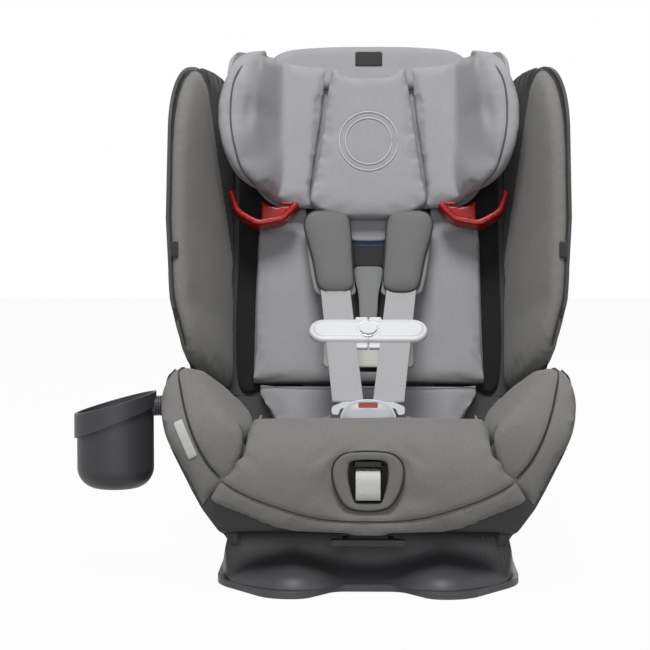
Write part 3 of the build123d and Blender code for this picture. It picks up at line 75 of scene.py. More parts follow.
# ---------------------------------------------------------------- sizes shared with the part, in millimetres
LEAN = radians(16)
BIGHT = (118.0, 130.0)            # (y, z) where the seat meets the back
WING_RISE = (66.0, 150.0, 250.0)      # the wings widen between these heights up the back
WING_HALF = (226.0, 245.0, 252.0)
WING_CORNER = 195.0
WING_DEPTH = 200.0
WING_TOP = 481.0
TONGUE = (-38.0, 212.0)
STRAP_RISE = radians(40.5)
STRAP_RUN = 175.0
WEBBING = 38.0
STRAP_LOW_X = 25.5                # strap centre lines at the tongues, at the pads, and at the back
STRAP_HIGH_X = 41.0
SHOULDER_X = 53.0
CLIP_ALONG = 109.0
BUCKLE = (-54.0, 196.0)
BUCKLE_LEAN = radians(12)
RECLINE = (-30.0, 402.0)          # (y, z) of the axis that the seat reclines about
CRADLE_RADIUS = 353.0
CRADLE_FRONT = -150.0
ADJUSTER_Y = -212.5               # the plane of the bezel
ADJUSTER_Z = 131.0


def back(x, d, h):
    """A point d behind the back plate and h up the back."""
    return (x, BIGHT[0] + d * cos(LEAN) + h * sin(LEAN), BIGHT[1] - d * sin(LEAN) + h * cos(LEAN))


def in_back(points):
    """How far points lie behind the back plate, and how far up the back."""
    y, z = points[:, 1] - BIGHT[0], points[:, 2] - BIGHT[1]
    return y * cos(LEAN) - z * sin(LEAN), y * sin(LEAN) + z * cos(LEAN)


# ---------------------------------------------------------------- curves
def lengths(line):
    """Distance along a line at each of its points."""
    return np.concatenate([[0], np.cumsum(np.linalg.norm(np.diff(line, axis=0), axis=1))])


def smooth_line(points, step, closed=False):
    """A Catmull-Rom curve through the points, sampled at an even step."""
    p = np.array(points, float)
    n = len(p)
    if closed:
        p = np.vstack([p[-1], p, p[0], p[1]])
    else:
        p = np.vstack([2 * p[0] - p[1], p, 2 * p[-1] - p[-2]])
    t = np.linspace(0, 1, 24, endpoint=False)[:, None]
    spans = []
    for i in range(n if closed else n - 1):
        a, b, c, d = p[i], p[i + 1], p[i + 2], p[i + 3]
        square, cube = 2 * a - 5 * b + 4 * c - d, 3 * b - a - 3 * c + d
        spans.append(0.5 * (2 * b + (c - a) * t + square * t**2 + cube * t**3))
    dense = np.vstack(spans + [p[1:2] if closed else p[-2:-1]])
    along = lengths(dense)
    count = max(int(round(along[-1] / step)), 4)
    at = np.linspace(0, along[-1], count + 1)
    line = np.stack([np.interp(at, along, dense[:, k]) for k in range(dense.shape[1])], 1)
    return line[:-1] if closed else line


def polyline(points, step):
    """Straight runs between the points, sampled at an even step."""
    p = np.array(points, float)
    along = lengths(p)
    at = np.linspace(0, along[-1], max(int(along[-1] / step), 2) + 1)
    return np.stack([np.interp(at, along, p[:, k]) for k in range(p.shape[1])], 1)


def soften_line(line, passes):
    """Round the turns of a sampled line; its ends stay."""
    line = line.copy()
    for _ in range(passes):
        line[1:-1] = (line[:-2] + 2 * line[1:-1] + line[2:]) / 4
    return line


def edge_distance(points, loop):
    """Distance from each (u, v) point to a closed outline."""
    a = loop
    ab = np.roll(loop, -1, axis=0) - loop
    rel = points[:, None, :] - a[None]
    t = np.clip((rel * ab).sum(2) / (ab**2).sum(1), 0, 1)
    return np.linalg.norm(rel - t[..., None] * ab, axis=2).min(1)


# ---------------------------------------------------------------- meshes
def new_object(name, verts, faces, uvs=None):
    """A smooth-shaded mesh object from millimetre points."""
    mesh = bpy.data.meshes.new(name)
    mesh.from_pydata([tuple(v) for v in np.asarray(verts, float) * MM], [], [tuple(f) for f in faces])
    if uvs is not None:
        layer = mesh.uv_layers.new(name="along")
        index = np.zeros(len(mesh.loops), int)
        mesh.loops.foreach_get("vertex_index", index)
        layer.data.foreach_set("uv", np.asarray(uvs, float)[index].ravel())
    mesh.validate()
    obj = bpy.data.objects.new(name, mesh)
    bpy.context.scene.collection.objects.link(obj)
    return outward(obj)


def quads(starts, n):
    """Faces between closed rows of n points, given each row's first index."""
    starts = list(starts)
    return [(a + k, a + (k + 1) % n, b + (k + 1) % n, b + k)
            for a, b in zip(starts, starts[1:]) for k in range(n)]


def outward(obj):
    """Turn every face outwards and shade it smooth."""
    bm = bmesh.new()
    bm.from_mesh(obj.data)
    bmesh.ops.recalc_face_normals(bm, faces=bm.faces)
    bm.to_mesh(obj.data)
    bm.free()
    obj.data.polygons.foreach_set("use_smooth", [True] * len(obj.data.polygons))
    return obj


def points_of(obj):
    co = np.zeros(len(obj.data.vertices) * 3)
    obj.data.vertices.foreach_get("co", co)
    return co.reshape(-1, 3) / MM


def normals_of(obj):
    no = np.zeros(len(obj.data.vertices) * 3)
    obj.data.vertices.foreach_get("normal", no)
    return no.reshape(-1, 3)


def set_points(obj, points):
    obj.data.vertices.foreach_set("co", (np.asarray(points) * MM).ravel())
    obj.data.update()


def edges_of(obj):
    e = np.zeros(len(obj.data.edges) * 2, int)
    obj.data.edges.foreach_get("vertices", e)
    return e.reshape(-1, 2)


def relax(obj, passes, keep=None):
    """Laplacian smoothing with little loss of volume; keep is 0 to 1 for each point that stays."""
    e = edges_of(obj)
    co = points_of(obj)
    count = np.bincount(e.ravel(), minlength=len(co))[:, None].clip(1)
    free = 1.0 if keep is None else (1 - keep)[:, None]
    for k in range(2 * passes):
        total = np.zeros_like(co)
        np.add.at(total, e[:, 0], co[e[:, 1]])
        np.add.at(total, e[:, 1], co[e[:, 0]])
        rate = 0.6 if k % 2 == 0 else -0.5
        co = co + free * rate * (total / count - co)
    set_points(obj, co)


def applied(obj):
    """Apply every modifier on an object."""
    graph = bpy.context.evaluated_depsgraph_get()
    mesh = bpy.data.meshes.new_from_object(obj.evaluated_get(graph))
    obj.modifiers.clear()
    old = obj.data
    obj.data = mesh
    bpy.data.meshes.remove(old)
    obj.data.polygons.foreach_set("use_smooth", [True] * len(obj.data.polygons))
    return obj


def remesh(obj, voxel):
    m = obj.modifiers.new("remesh", "REMESH")
    m.mode = "VOXEL"
    m.voxel_size = voxel * MM
    return applied(obj)


def soften(obj, passes):
    """Plain smoothing, which rounds a shape and pulls it in a little."""
    m = obj.modifiers.new("soften", "SMOOTH")
    m.factor = 0.5
    m.iterations = passes
    return applied(obj)


def subdivide(obj):
    m = obj.modifiers.new("subdivide", "SUBSURF")
    m.levels = m.render_levels = 1
    return applied(obj)


def joined(name, *objs):
    """One object from several meshes."""
    bm = bmesh.new()
    for o in objs:
        bm.from_mesh(o.data)
    mesh = bpy.data.meshes.new(name)
    bm.to_mesh(mesh)
    bm.free()
    for o in objs:
        if "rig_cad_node" not in o:
            bpy.data.objects.remove(o)
    obj = bpy.data.objects.new(name, mesh)
    bpy.context.scene.collection.objects.link(obj)
    return outward(obj)


def soft_copy(name, *nodes, voxel=5.0, smooth=6, shrink=2.5):
    """A padded piece that starts from the space its CAD solids hold."""
    obj = joined(name, *[NODES[n] for n in nodes])
    remesh(obj, voxel)
    relax(obj, smooth)
    set_points(obj, points_of(obj) - shrink * normals_of(obj))
    return obj


def cut(obj, tool):
    """Take a tool's solid away from a piece, and drop the tool."""
    m = obj.modifiers.new("cut", "BOOLEAN")
    m.object = tool
    m.operation = "DIFFERENCE"
    m.solver = "EXACT"
    applied(obj)
    bpy.data.objects.remove(tool)
    return obj


def flipped(obj, name):
    """The same piece on the other side of the seat."""
    mesh = obj.data.copy()
    mesh.name = name
    other = bpy.data.objects.new(name, mesh)
    bpy.context.scene.collection.objects.link(other)
    set_points(other, points_of(other) * (-1, 1, 1))
    mesh.flip_normals()
    return other


def both_sides(obj, stem):
    """The piece and its mirror image, each with its side's name and sign."""
    obj.name = f"{stem}_right"
    return [("right", 1, obj), ("left", -1, flipped(obj, f"{stem}_left"))]


def pillow(name, outline, place, front, behind, roll, rings=16):
    """A closed pad over an outline, which place(u, v, w) maps into the seat.

    front and behind are its half thicknesses, and roll is the width of its rounded edge.
    """
    loop = np.asarray(outline, float)
    centre = loop.mean(0)
    scales = 1 - (np.arange(rings) / rings) ** 1.5
    flat = np.vstack([centre + (loop - centre) * s for s in scales] + [centre[None]])
    e = np.clip(edge_distance(flat, loop) / roll, 0, 1)
    rise = np.sqrt(1 - (1 - e) ** 2)
    f = front(flat[:, 0], flat[:, 1]) if callable(front) else front
    b = behind(flat[:, 0], flat[:, 1]) if callable(behind) else behind
    n = len(loop)
    top = [place(u, v, w) for (u, v), w in zip(flat, rise * f)]
    low = [place(u, v, -w) for (u, v), w in zip(flat[n:], (rise * b)[n:])]
    faces = []
    for side, shift in ((0, 0), (1, len(flat) - n)):
        def at(ring, k, side=side, shift=shift):
            index = ring * n + k % n
            return index if ring == 0 or side == 0 else index + shift
        for r in range(rings - 1):
            faces += [(at(r, k), at(r, k + 1), at(r + 1, k + 1), at(r + 1, k)) for k in range(n)]
        tip = rings * n + (shift if side else 0)
        faces += [(at(rings - 1, k), at(rings - 1, k + 1), tip) for k in range(n)]
    return new_object(name, top + low, faces)


def tube(name, line, radius, sides=8, taper=False):
    """A round tube along a sampled line, with closed ends."""
    line = np.asarray(line, float)
    tangent = np.gradient(line, axis=0)
    tangent /= np.linalg.norm(tangent, axis=1)[:, None]
    side = np.cross(tangent[0], (0.3, 0.5, 0.8))
    verts = []
    for i, (p, t) in enumerate(zip(line, tangent)):
        side = side - t * side.dot(t)
        side /= np.linalg.norm(side)
        up = np.cross(t, side)
        end = min(i, len(line) - 1 - i)
        r = radius * (0.35 + 0.65 * min(end / 3, 1)) if taper else radius
        for k in range(sides):
            a = 2 * pi * k / sides
            verts.append(p + r * (cos(a) * side + sin(a) * up))
    rows = len(line)
    faces = quads(range(0, rows * sides, sides), sides)
    faces += [tuple(range(sides)), tuple((rows - 1) * sides + k for k in range(sides))]
    return new_object(name, verts, faces)


def ribbon(name, line, width_dirs, width, thick, crown=0.0):
    """Webbing along a sampled line: a thin strip with rounded edges, its UV in metres along it."""
    line = np.asarray(line, float)
    across = np.asarray(width_dirs, float)
    if across.ndim == 1:
        across = np.tile(across, (len(line), 1))
    across /= np.linalg.norm(across, axis=1)[:, None]
    tangent = np.gradient(line, axis=0)
    normal = np.cross(tangent, across)
    normal /= np.linalg.norm(normal, axis=1)[:, None]
    half = width / 2 if np.ndim(width) else np.full(len(line), width / 2)
    s = np.array([-1, -0.985, -0.9, -0.5, 0, 0.5, 0.9, 0.985, 1])
    rim = np.array([0.25, 0.8, 1, 1, 1, 1, 1, 0.8, 0.25]) * thick / 2
    section = [(a, r + crown * (1 - a * a)) for a, r in zip(s, rim)]
    section += [(a, -r + crown * (1 - a * a)) for a, r in zip(s[::-1], rim[::-1])]
    along = lengths(line)
    verts, uvs = [], []
    for i in range(len(line)):
        for a, w in section:
            verts.append(line[i] + a * half[i] * across[i] + w * normal[i])
            uvs.append((a * half[i] * MM, along[i] * MM))
    n = len(section)
    faces = quads(range(0, len(line) * n, n), n)
    faces += [tuple(range(n)), tuple((len(line) - 1) * n + k for k in range(n))]
    return new_object(name, verts, faces, uvs)


# ---------------------------------------------------------------- sewing
def surface(obj):
    graph = bpy.context.evaluated_depsgraph_get()
    return BVHTree.FromObject(obj, graph)


def trace(obj, line, start=(0, -600, 0), direction=(0, 1, 0)):
    """Carry a line onto a piece's surface: rays leave it from start, shifted, in one direction."""
    tree = surface(obj)
    found = []
    for p in line:
        origin = Vector((np.array(p) + np.array(start)) * MM)
        hit = tree.ray_cast(origin, Vector(direction))[0]
        if hit is not None:
            found.append(np.array(hit) / MM)
    return np.array(found)


def on_front(obj, points, step=3.0):
    """A smooth (x, z) line seen from the front, carried onto a piece."""
    line = smooth_line(points, step)
    hits = trace(obj, np.stack([line[:, 0], np.zeros(len(line)), line[:, 1]], 1))
    return soften_line(hits, 2)


def groove(obj, line, depth, width):
    """Press a sewn line into a piece."""
    tree = KDTree(len(line))
    for i, p in enumerate(line):
        tree.insert(p, i)
    tree.balance()
    co, no = points_of(obj), normals_of(obj)
    for i in range(len(co)):
        distance = tree.find(co[i])[2]
        if distance < 3 * width:
            co[i] -= no[i] * depth * np.exp(-(distance / width) ** 2)
    set_points(obj, co)


def billow(obj, size, height, seed=0.0):
    """Slow, uneven swells over a piece, as fabric has over foam."""
    co, no = points_of(obj), normals_of(obj)
    total = np.zeros(len(co))
    for k, way in enumerate([(1, 0.6, 0.3), (-0.5, 1, 0.7), (0.4, -0.8, 1), (1.1, 0.9, -0.6)]):
        phase = seed * (k + 1) + k
        total += np.sin(co @ way * 2 * pi / (size * (1 + 0.23 * k)) + phase)
    set_points(obj, co + no * (height * total / 4)[:, None])


SIMS = []
CLOTH_FRAMES = 20


def will_swell(obj, cap, pinned=None):
    """Queue a piece for the cloth simulation; pinned points stay."""
    SIMS.append((obj, cap, pinned))


def run_cloth():
    """Swell every queued piece like a stuffed cushion, with its movement capped."""
    scene = bpy.context.scene
    scene.frame_start, scene.frame_end = 1, CLOTH_FRAMES
    scene.frame_set(1)
    before = {}
    for obj, cap, pinned in SIMS:
        before[obj.name] = points_of(obj)
        cloth = obj.modifiers.new("cloth", "CLOTH")
        s = cloth.settings
        s.quality = 4
        s.mass = 0.3
        s.tension_stiffness = s.compression_stiffness = 12
        s.bending_stiffness = 0.8
        s.use_pressure = True
        s.uniform_pressure_force = 4
        s.effector_weights.gravity = 0
        cloth.point_cache.frame_start, cloth.point_cache.frame_end = 1, CLOTH_FRAMES
        if pinned is not None and pinned.any():
            group = obj.vertex_groups.new(name="pin")
            group.add([int(i) for i in np.nonzero(pinned)[0]], 1.0, "REPLACE")
            s.vertex_group_mass = "pin"
    for f in range(1, CLOTH_FRAMES + 1):
        scene.frame_set(f)
    graph = bpy.context.evaluated_depsgraph_get()
    moved = {}
    for obj, cap, pinned in SIMS:
        shape = obj.evaluated_get(graph).data
        co = np.zeros(len(shape.vertices) * 3)
        shape.vertices.foreach_get("co", co)
        moved[obj.name] = co.reshape(-1, 3) / MM
    for obj, cap, pinned in SIMS:
        obj.modifiers.clear()
        obj.vertex_groups.clear()
        shift = moved[obj.name] - before[obj.name]
        length = np.linalg.norm(shift, axis=1)[:, None].clip(1e-6)
        shift *= cap * np.tanh(length / cap) / length
        set_points(obj, before[obj.name] + shift)
    scene.frame_set(1)


# ---------------------------------------------------------------- materials
class Shader:
    """A small builder for procedural materials."""

    def __init__(self, name, colour, roughness, metallic=0.0):
        self.material = bpy.data.materials.new(name)
        self.material.use_nodes = True
        self.tree = self.material.node_tree
        self.bsdf = self.tree.nodes["Principled BSDF"]
        self.colour = (*colour, 1)
        self.bsdf.inputs["Base Color"].default_value = self.colour
        self.bsdf.inputs["Roughness"].default_value = roughness
        self.bsdf.inputs["Metallic"].default_value = metallic
        self.height = None

    def node(self, kind, **values):
        node = self.tree.nodes.new(kind)
        for key, value in values.items():
            if key in node.inputs:
                node.inputs[key].default_value = value
            else:
                setattr(node, key, value)
        return node

    def link(self, a, b):
        self.tree.links.new(a, b)

    def coords(self, uv=False, stretch=(1, 1, 1)):
        source = self.node("ShaderNodeTexCoord")
        mapping = self.node("ShaderNodeMapping")
        mapping.inputs["Scale"].default_value = stretch
        self.link(source.outputs["UV" if uv else "Object"], mapping.inputs["Vector"])
        return mapping.outputs["Vector"]

    def noise(self, vector, scale, detail=3.0, roughness=0.6):
        node = self.node("ShaderNodeTexNoise", Scale=scale, Detail=detail, Roughness=roughness)
        self.link(vector, node.inputs["Vector"])
        return node.outputs["Fac"]

    def wave(self, vector, scale, direction="X", kind="BANDS", distortion=0.0):
        node = self.node("ShaderNodeTexWave", Scale=scale, Distortion=distortion)
        node.wave_type = kind
        node.bands_direction = direction
        self.link(vector, node.inputs["Vector"])
        return node.outputs["Fac"]

    def maths(self, operation, a, b):
        node = self.node("ShaderNodeMath", operation=operation)
        for k, value in enumerate((a, b)):
            if isinstance(value, (int, float)):
                node.inputs[k].default_value = value
            else:
                self.link(value, node.inputs[k])
        return node.outputs[0]

    def tint(self, fac, low, high, spread=(0.3, 0.7)):
        """Vary the colour between two shares of the base colour."""
        ramp = self.node("ShaderNodeValToRGB")
        ramp.color_ramp.elements[0].position, ramp.color_ramp.elements[1].position = spread
        for element, share in zip(ramp.color_ramp.elements, (low, high)):
            element.color = (*[min(c * share, 1) for c in self.colour[:3]], 1)
        self.link(fac, ramp.inputs["Fac"])
        return ramp.outputs["Color"]

    def mix(self, fac, a, b, blend="MIX"):
        node = self.node("ShaderNodeMix", data_type="RGBA", blend_type=blend)
        for socket, value in ((node.inputs[0], fac), (node.inputs[6], a), (node.inputs[7], b)):
            if isinstance(value, (int, float)):
                socket.default_value = value
            elif isinstance(value, tuple):
                socket.default_value = value
            else:
                self.link(value, socket)
        return node.outputs[2]

    def paint(self, colour):
        self.link(colour, self.bsdf.inputs["Base Color"])

    def rough(self, fac, low, high):
        node = self.node("ShaderNodeMapRange")
        node.inputs["To Min"].default_value = low
        node.inputs["To Max"].default_value = high
        self.link(fac, node.inputs["Value"])
        self.link(node.outputs["Result"], self.bsdf.inputs["Roughness"])

    def bump(self, height, strength, distance, normal=None):
        node = self.node("ShaderNodeBump", Strength=strength, Distance=distance)
        self.link(height, node.inputs["Height"])
        if normal is not None:
            self.link(normal, node.inputs["Normal"])
        return node.outputs["Normal"]

    def shape(self, normal):
        self.link(normal, self.bsdf.inputs["Normal"])


def srgb(r, g, b):
    return tuple(((c / 255 + 0.055) / 1.055) ** 2.4 if c > 10 else c / 255 / 12.92 for c in (r, g, b))


def fabric(name, colour, thread=0.9, melange=0.12, sheen=0.1, roughness=0.92, creases=0.5):
    """Woven or knitted cover cloth: melange yarn, a fine weave and soft creases."""
    s = Shader(name, colour, roughness)
    s.bsdf.inputs["Sheen Weight"].default_value = sheen
    s.bsdf.inputs["Sheen Roughness"].default_value = 0.5
    s.bsdf.inputs["Specular IOR Level"].default_value = 0.25
    v = s.coords()
    yarn = s.noise(v, 900, 2, 0.7)
    patches = s.noise(v, 28, 3, 0.55)
    colour_a = s.tint(yarn, 1 - melange, 1 + melange, (0.35, 0.65))
    s.paint(s.mix(0.35, colour_a, s.tint(patches, 0.93, 1.07), "MIX"))
    weave = s.maths("MULTIPLY", s.wave(v, 500 / thread / pi, "X", distortion=0.6),
                    s.wave(v, 500 / thread / pi, "Z", distortion=0.6))
    fine = s.bump(s.maths("ADD", weave, yarn), 0.35, 0.0003)
    soft = s.bump(s.noise(v, 22, 2, 0.5), creases, 0.002, fine)
    s.rough(yarn, roughness - 0.06, min(roughness + 0.05, 1))
    s.shape(soft)
    return s.material


def webbing(name, colour, rib=1.1, roughness=0.62):
    """Polyester webbing: ribs in chevrons."""
    s = Shader(name, colour, roughness)
    s.bsdf.inputs["Sheen Weight"].default_value = 0.15
    s.bsdf.inputs["Specular IOR Level"].default_value = 0.4
    v = s.coords(uv=True)
    ribs = s.wave(v, 1000 / rib / (2 * pi), "X")
    twill = s.wave(v, 1000 / rib / (2 * pi), "DIAGONAL")
    fibres = s.noise(s.coords(uv=True, stretch=(2600, 240, 1)), 1.0, 2, 0.6)
    height = s.maths("ADD", s.maths("MULTIPLY", ribs, 0.7), s.maths("MULTIPLY", twill, 0.5))
    s.paint(s.mix(0.5, s.tint(fibres, 0.86, 1.1), s.tint(height, 0.84, 1.08)))
    s.rough(fibres, roughness - 0.08, roughness + 0.1)
    s.shape(s.bump(height, 0.55, 0.0005))
    return s.material


def plastic(name, colour, roughness=0.5, grain=0.25, edge=0.7, edge_highlight=1.35, shine=0.35):
    """Moulded plastic: fine spark grain, softened edges, and a painted highlight that lightens the colour on
    convex edges.
    """
    s = Shader(name, colour, roughness)
    s.bsdf.inputs["Specular IOR Level"].default_value = shine
    v = s.coords()
    pits = s.noise(v, 1400, 2, 0.6)
    cloud = s.noise(v, 16, 4, 0.55)
    rounded = s.node("ShaderNodeBevel")
    rounded.samples = 4
    rounded.inputs["Radius"].default_value = edge * MM
    point = s.node("ShaderNodeNewGeometry").outputs["Pointiness"]
    edge_highlight_mask = s.node("ShaderNodeMapRange")
    for key, value in (("From Min", 0.52), ("From Max", 0.62)):
        edge_highlight_mask.inputs[key].default_value = value
    s.link(point, edge_highlight_mask.inputs["Value"])
    base = s.mix(0.5, s.tint(cloud, 0.93, 1.08), s.tint(pits, 0.93, 1.07))
    # painted highlight: on convex edges, where Pointiness is high, the colour moves up to half way towards a
    # lighter copy of itself
    s.paint(s.mix(s.maths("MULTIPLY", edge_highlight_mask.outputs["Result"], 0.5), base,
                  tuple(min(c * edge_highlight, 1) for c in colour) + (1,)))
    s.rough(s.maths("ADD", s.maths("MULTIPLY", cloud, 0.6), s.maths("MULTIPLY", pits, 0.4)),
            roughness - 0.09, roughness + 0.09)
    s.shape(s.bump(pits, grain, 0.0002, rounded.outputs["Normal"]))
    return s.material


def metal(name, colour, roughness=0.35, brush=(1, 1, 40)):
    """Brushed or plated steel."""
    s = Shader(name, colour, roughness, metallic=1.0)
    lines = s.noise(s.coords(stretch=brush), 260, 3, 0.6)
    s.paint(s.tint(lines, 0.85, 1.1))
    s.rough(lines, roughness - 0.1, roughness + 0.12)
    rounded = s.node("ShaderNodeBevel")
    rounded.samples = 4
    rounded.inputs["Radius"].default_value = 0.5 * MM
    s.shape(s.bump(lines, 0.15, 0.0001, rounded.outputs["Normal"]))
    return s.material


COVER = fabric("cover_cloth", srgb(122, 121, 118), melange=0.2)
LINER = fabric("liner_cloth", srgb(160, 160, 163), melange=0.12, thread=0.7)
PAD = fabric("pad_cloth", srgb(112, 112, 112), melange=0.12)
BACKING = fabric("pad_backing_cloth", srgb(140, 141, 142), melange=0.08)
MESH = fabric("black_mesh", srgb(30, 30, 31), thread=1.8, melange=0.5, sheen=0.1)
SEAM = fabric("seam_piping", srgb(52, 51, 49), thread=0.8, melange=0.2, creases=0.1)
LINER_SEAM = fabric("liner_piping", srgb(92, 93, 97), thread=0.8, melange=0.2, creases=0.1)
TAG = fabric("satin_tag", srgb(26, 26, 28), thread=0.5, melange=0.15, sheen=0.4, roughness=0.6, creases=0.2)
STRIPE = fabric("stripe_thread", srgb(36, 104, 178), thread=0.5, melange=0.15, creases=0.1)
LABEL = fabric("blank_label", srgb(226, 225, 220), thread=0.4, melange=0.03, roughness=0.7, creases=0.2)
FOIL = fabric("silver_tag", srgb(188, 187, 182), thread=0.5, melange=0.1, roughness=0.45, creases=0.2)
THREAD = fabric("embroidery", srgb(188, 189, 193), thread=0.5, melange=0.12, roughness=0.5, creases=0.1)
STRAP = webbing("harness_webbing", srgb(164, 164, 166))
PULL = webbing("adjuster_webbing", srgb(205, 205, 202), rib=0.8)
SHELL = plastic("shell_plastic", srgb(46, 46, 48), roughness=0.52)
BASE = plastic("base_plastic", srgb(72, 72, 75), roughness=0.46, edge=1.2)
TRIM = plastic("trim_plastic", srgb(62, 62, 65), roughness=0.44, edge=0.8)
BEZEL = plastic("bezel_plastic", srgb(112, 110, 106), roughness=0.6)
RED = plastic("red_plastic", srgb(150, 4, 8), roughness=0.28, grain=0.03, edge_highlight=1.05, shine=0.3)
WHITE = plastic("clip_plastic", srgb(212, 213, 216), roughness=0.36, grain=0.08, edge_highlight=1.0)
PALE = plastic("buckle_plastic", srgb(186, 188, 192), roughness=0.34, grain=0.08, edge_highlight=1.05)
RUBBER = plastic("rubber", srgb(36, 36, 36), roughness=0.8, grain=0.5)
STEEL = metal("steel", (0.55, 0.55, 0.56))
CHROME = metal("chrome", (0.72, 0.73, 0.76), roughness=0.16)


def dress(obj, material, body, slot, *nodes, fill=None):
    """Give a piece its material and body, and hide the CAD nodes that it stands for; slot is not used."""
    if not obj.data.materials:
        obj.data.materials.append(material)
    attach(obj, body)
    if nodes:
        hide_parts(*nodes)
    return obj


def piping(name, line, radius, material, body, slot, sides=8):
    return dress(tube(name, line, radius, sides=sides, taper=True), material, body, slot)


# ---------------------------------------------------------------- camera and studio
CAMERA = (0, -2.6, 0.47)
CAMERA_AIM = (-0.053, 0, 0.294)
CAMERA_LENS = 2130 / 650 * 36     # focal length in pixels of the photo, on a 36 mm sensor
LAMP_AIM = (0, 0, 0.35)
FLOOR_GREY = 0.45
FLOOR_GLOW = 0.96                 # share of the floor's brightness that is its own, for the background
AMBIENT = 0.08
LAMPS = [("front", (0, -3.2, 1.0), 1.4, 24), ("key", (-0.1, -1.25, 2.45), 0.9, 47),
         ("top", (0, 0.2, 2.5), 1.2, 10), ("rear", (0.9, 2.6, 1.4), 1.8, 24)]


def towards(obj, point):
    """The rotation that turns a camera or lamp to a point."""
    return (Vector(point) - obj.location).to_track_quat("-Z", "Y").to_euler()


def background_rays(tree):
    """1 for the rays that see the plain background: the camera's, and those mirrored to it."""
    path = tree.nodes.new("ShaderNodeLightPath")
    either = tree.nodes.new("ShaderNodeMath")
    either.operation = "MAXIMUM"
    tree.links.new(path.outputs["Is Camera Ray"], either.inputs[0])
    tree.links.new(path.outputs["Is Glossy Ray"], either.inputs[1])
    return either.outputs[0]


def studio():
    scene = bpy.context.scene
    scene.view_settings.view_transform = "Standard"
    camera = bpy.data.objects.new("camera", bpy.data.cameras.new("camera"))
    scene.collection.objects.link(camera)
    camera.location = CAMERA
    camera.rotation_euler = towards(camera, CAMERA_AIM)
    camera.data.sensor_width = 36
    camera.data.lens = CAMERA_LENS
    scene.camera = camera

    corners = [(-6000, -6000, 0), (6000, -6000, 0), (6000, 6000, 0), (-6000, 6000, 0)]
    floor = new_object("floor", corners, [(0, 1, 2, 3)])
    s = Shader("studio_floor", (FLOOR_GREY,) * 3, 0.9)
    glow = s.node("ShaderNodeEmission", Strength=1.0)
    glow.inputs["Color"].default_value = (1, 1, 1, 1)
    mixer = s.node("ShaderNodeMixShader")
    s.link(s.maths("MULTIPLY", background_rays(s.tree), FLOOR_GLOW), mixer.inputs[0])
    s.link(s.bsdf.outputs[0], mixer.inputs[1])
    s.link(glow.outputs[0], mixer.inputs[2])
    s.link(mixer.outputs[0], s.tree.nodes["Material Output"].inputs["Surface"])
    floor.data.materials.append(s.material)

    world = bpy.data.worlds.new("studio")
    scene.world = world
    world.use_nodes = True
    tree = world.node_tree
    ground = tree.nodes["Background"]
    ground.inputs["Color"].default_value = (1, 1, 1, 1)
    level = tree.nodes.new("ShaderNodeMapRange")
    level.inputs["To Min"].default_value = AMBIENT
    level.inputs["To Max"].default_value = 1.0
    tree.links.new(background_rays(tree), level.inputs["Value"])
    tree.links.new(level.outputs["Result"], ground.inputs["Strength"])

    for name, place, size, power in LAMPS:
        lamp = bpy.data.objects.new(name, bpy.data.lights.new(name, "AREA"))
        lamp.data.size = size
        lamp.data.energy = power
        lamp.location = place
        lamp.rotation_euler = towards(lamp, LAMP_AIM)
        scene.collection.objects.link(lamp)


# ---------------------------------------------------------------- seat covers
def wing_outline():
    points = [(-150, 70), (-186, 96), (-200, 150), (-200, 240), (-200, 345), (-190, 398), (-166, 440),
              (-128, 468), (-80, 479), (-40, WING_TOP - 1), (-8, WING_TOP - 6), (-2, 440), (-2, 300),
              (-2, 110), (-8, 72), (-60, 67)]
    return smooth_line(points, 6, closed=True)


def wing_half(h):
    """Half of the width over the wings' front edges, h up the back."""
    return np.interp(h, WING_RISE, WING_HALF)


def wing_place(u, v, w):
    """(d, h) along the right wing and w outwards from its middle."""
    slope = (wing_half(v) - 4 - WING_CORNER) / WING_DEPTH
    x = WING_CORNER + slope * (4 - u) - 10.3
    turn = 1 / sqrt(1 + slope**2)
    return back(x + w * turn, u + w * slope * turn, v)


def make_wings():
    wing = pillow("wing_cover_sewn_right", wing_outline(), wing_place, 13.2, 13.2, 15, rings=18)
    remesh(wing, 5)
    relax(wing, 4)
    co = points_of(wing)
    will_swell(wing, 3.0, pinned=co[:, 1] > 190)
    return wing


def finish_wings(wing):
    subdivide(wing)
    billow(wing, 150, 0.8, 0.7)
    rim = [(u, v) for u, v in smooth_line([(-176, 92), (-193, 130), (-196, 240), (-196, 345), (-186, 396),
                                           (-163, 437), (-127, 464), (-80, 475), (-30, 477)], 4)]
    line = np.array([wing_place(u - 8, v, 8.0) for u, v in rim])
    tree = surface(wing)
    line = np.array([np.array(tree.find_nearest(Vector(p * MM))[0]) / MM for p in line])
    line = soften_line(line, 3)
    groove(wing, line, 1.6, 3.2)
    for side, sign, piece in both_sides(wing, "wing_cover_sewn"):
        piece.data.materials.append(COVER)
        piece.data.materials.append(MESH)
        centres = np.zeros(len(piece.data.polygons) * 3)
        normal = np.zeros(len(piece.data.polygons) * 3)
        piece.data.polygons.foreach_get("center", centres)
        piece.data.polygons.foreach_get("normal", normal)
        n = normal.reshape(-1, 3)
        d, h = in_back(centres.reshape(-1, 3) / MM)
        # partly the real black mesh, partly painted shade: the black cloth reaches further forward towards
        # the top, where the headrest's shade falls on the wings' inner faces
        mesh_and_headrest_shade = (n[:, 0] * sign < 0.2) & (d > -12 - np.clip(h - 210, 0, 400) * 0.52)
        piece.data.polygons.foreach_set("material_index", mesh_and_headrest_shade.astype(int))
        dress(piece, COVER, "seat", "cover_fabric", f"wing_cover_{side}", f"wing_foam_{side}", fill=0.8)
        piping(f"wing_piping_{side}", line * (sign, 1, 1), 1.3, SEAM, "seat", "cover_fabric")


def make_bolsters():
    bolster = soft_copy("bolster_sewn_right", "bolster_cover_right", voxel=5, smooth=7, shrink=0.6)
    co = points_of(bolster)
    will_swell(bolster, 4.0, pinned=(co[:, 2] < 120) & (co[:, 1] > -150))
    return bolster


BOLSTER_SEAM = [(167, 134), (181, 150), (195, 175), (207, 206), (216, 236), (221, 250)]


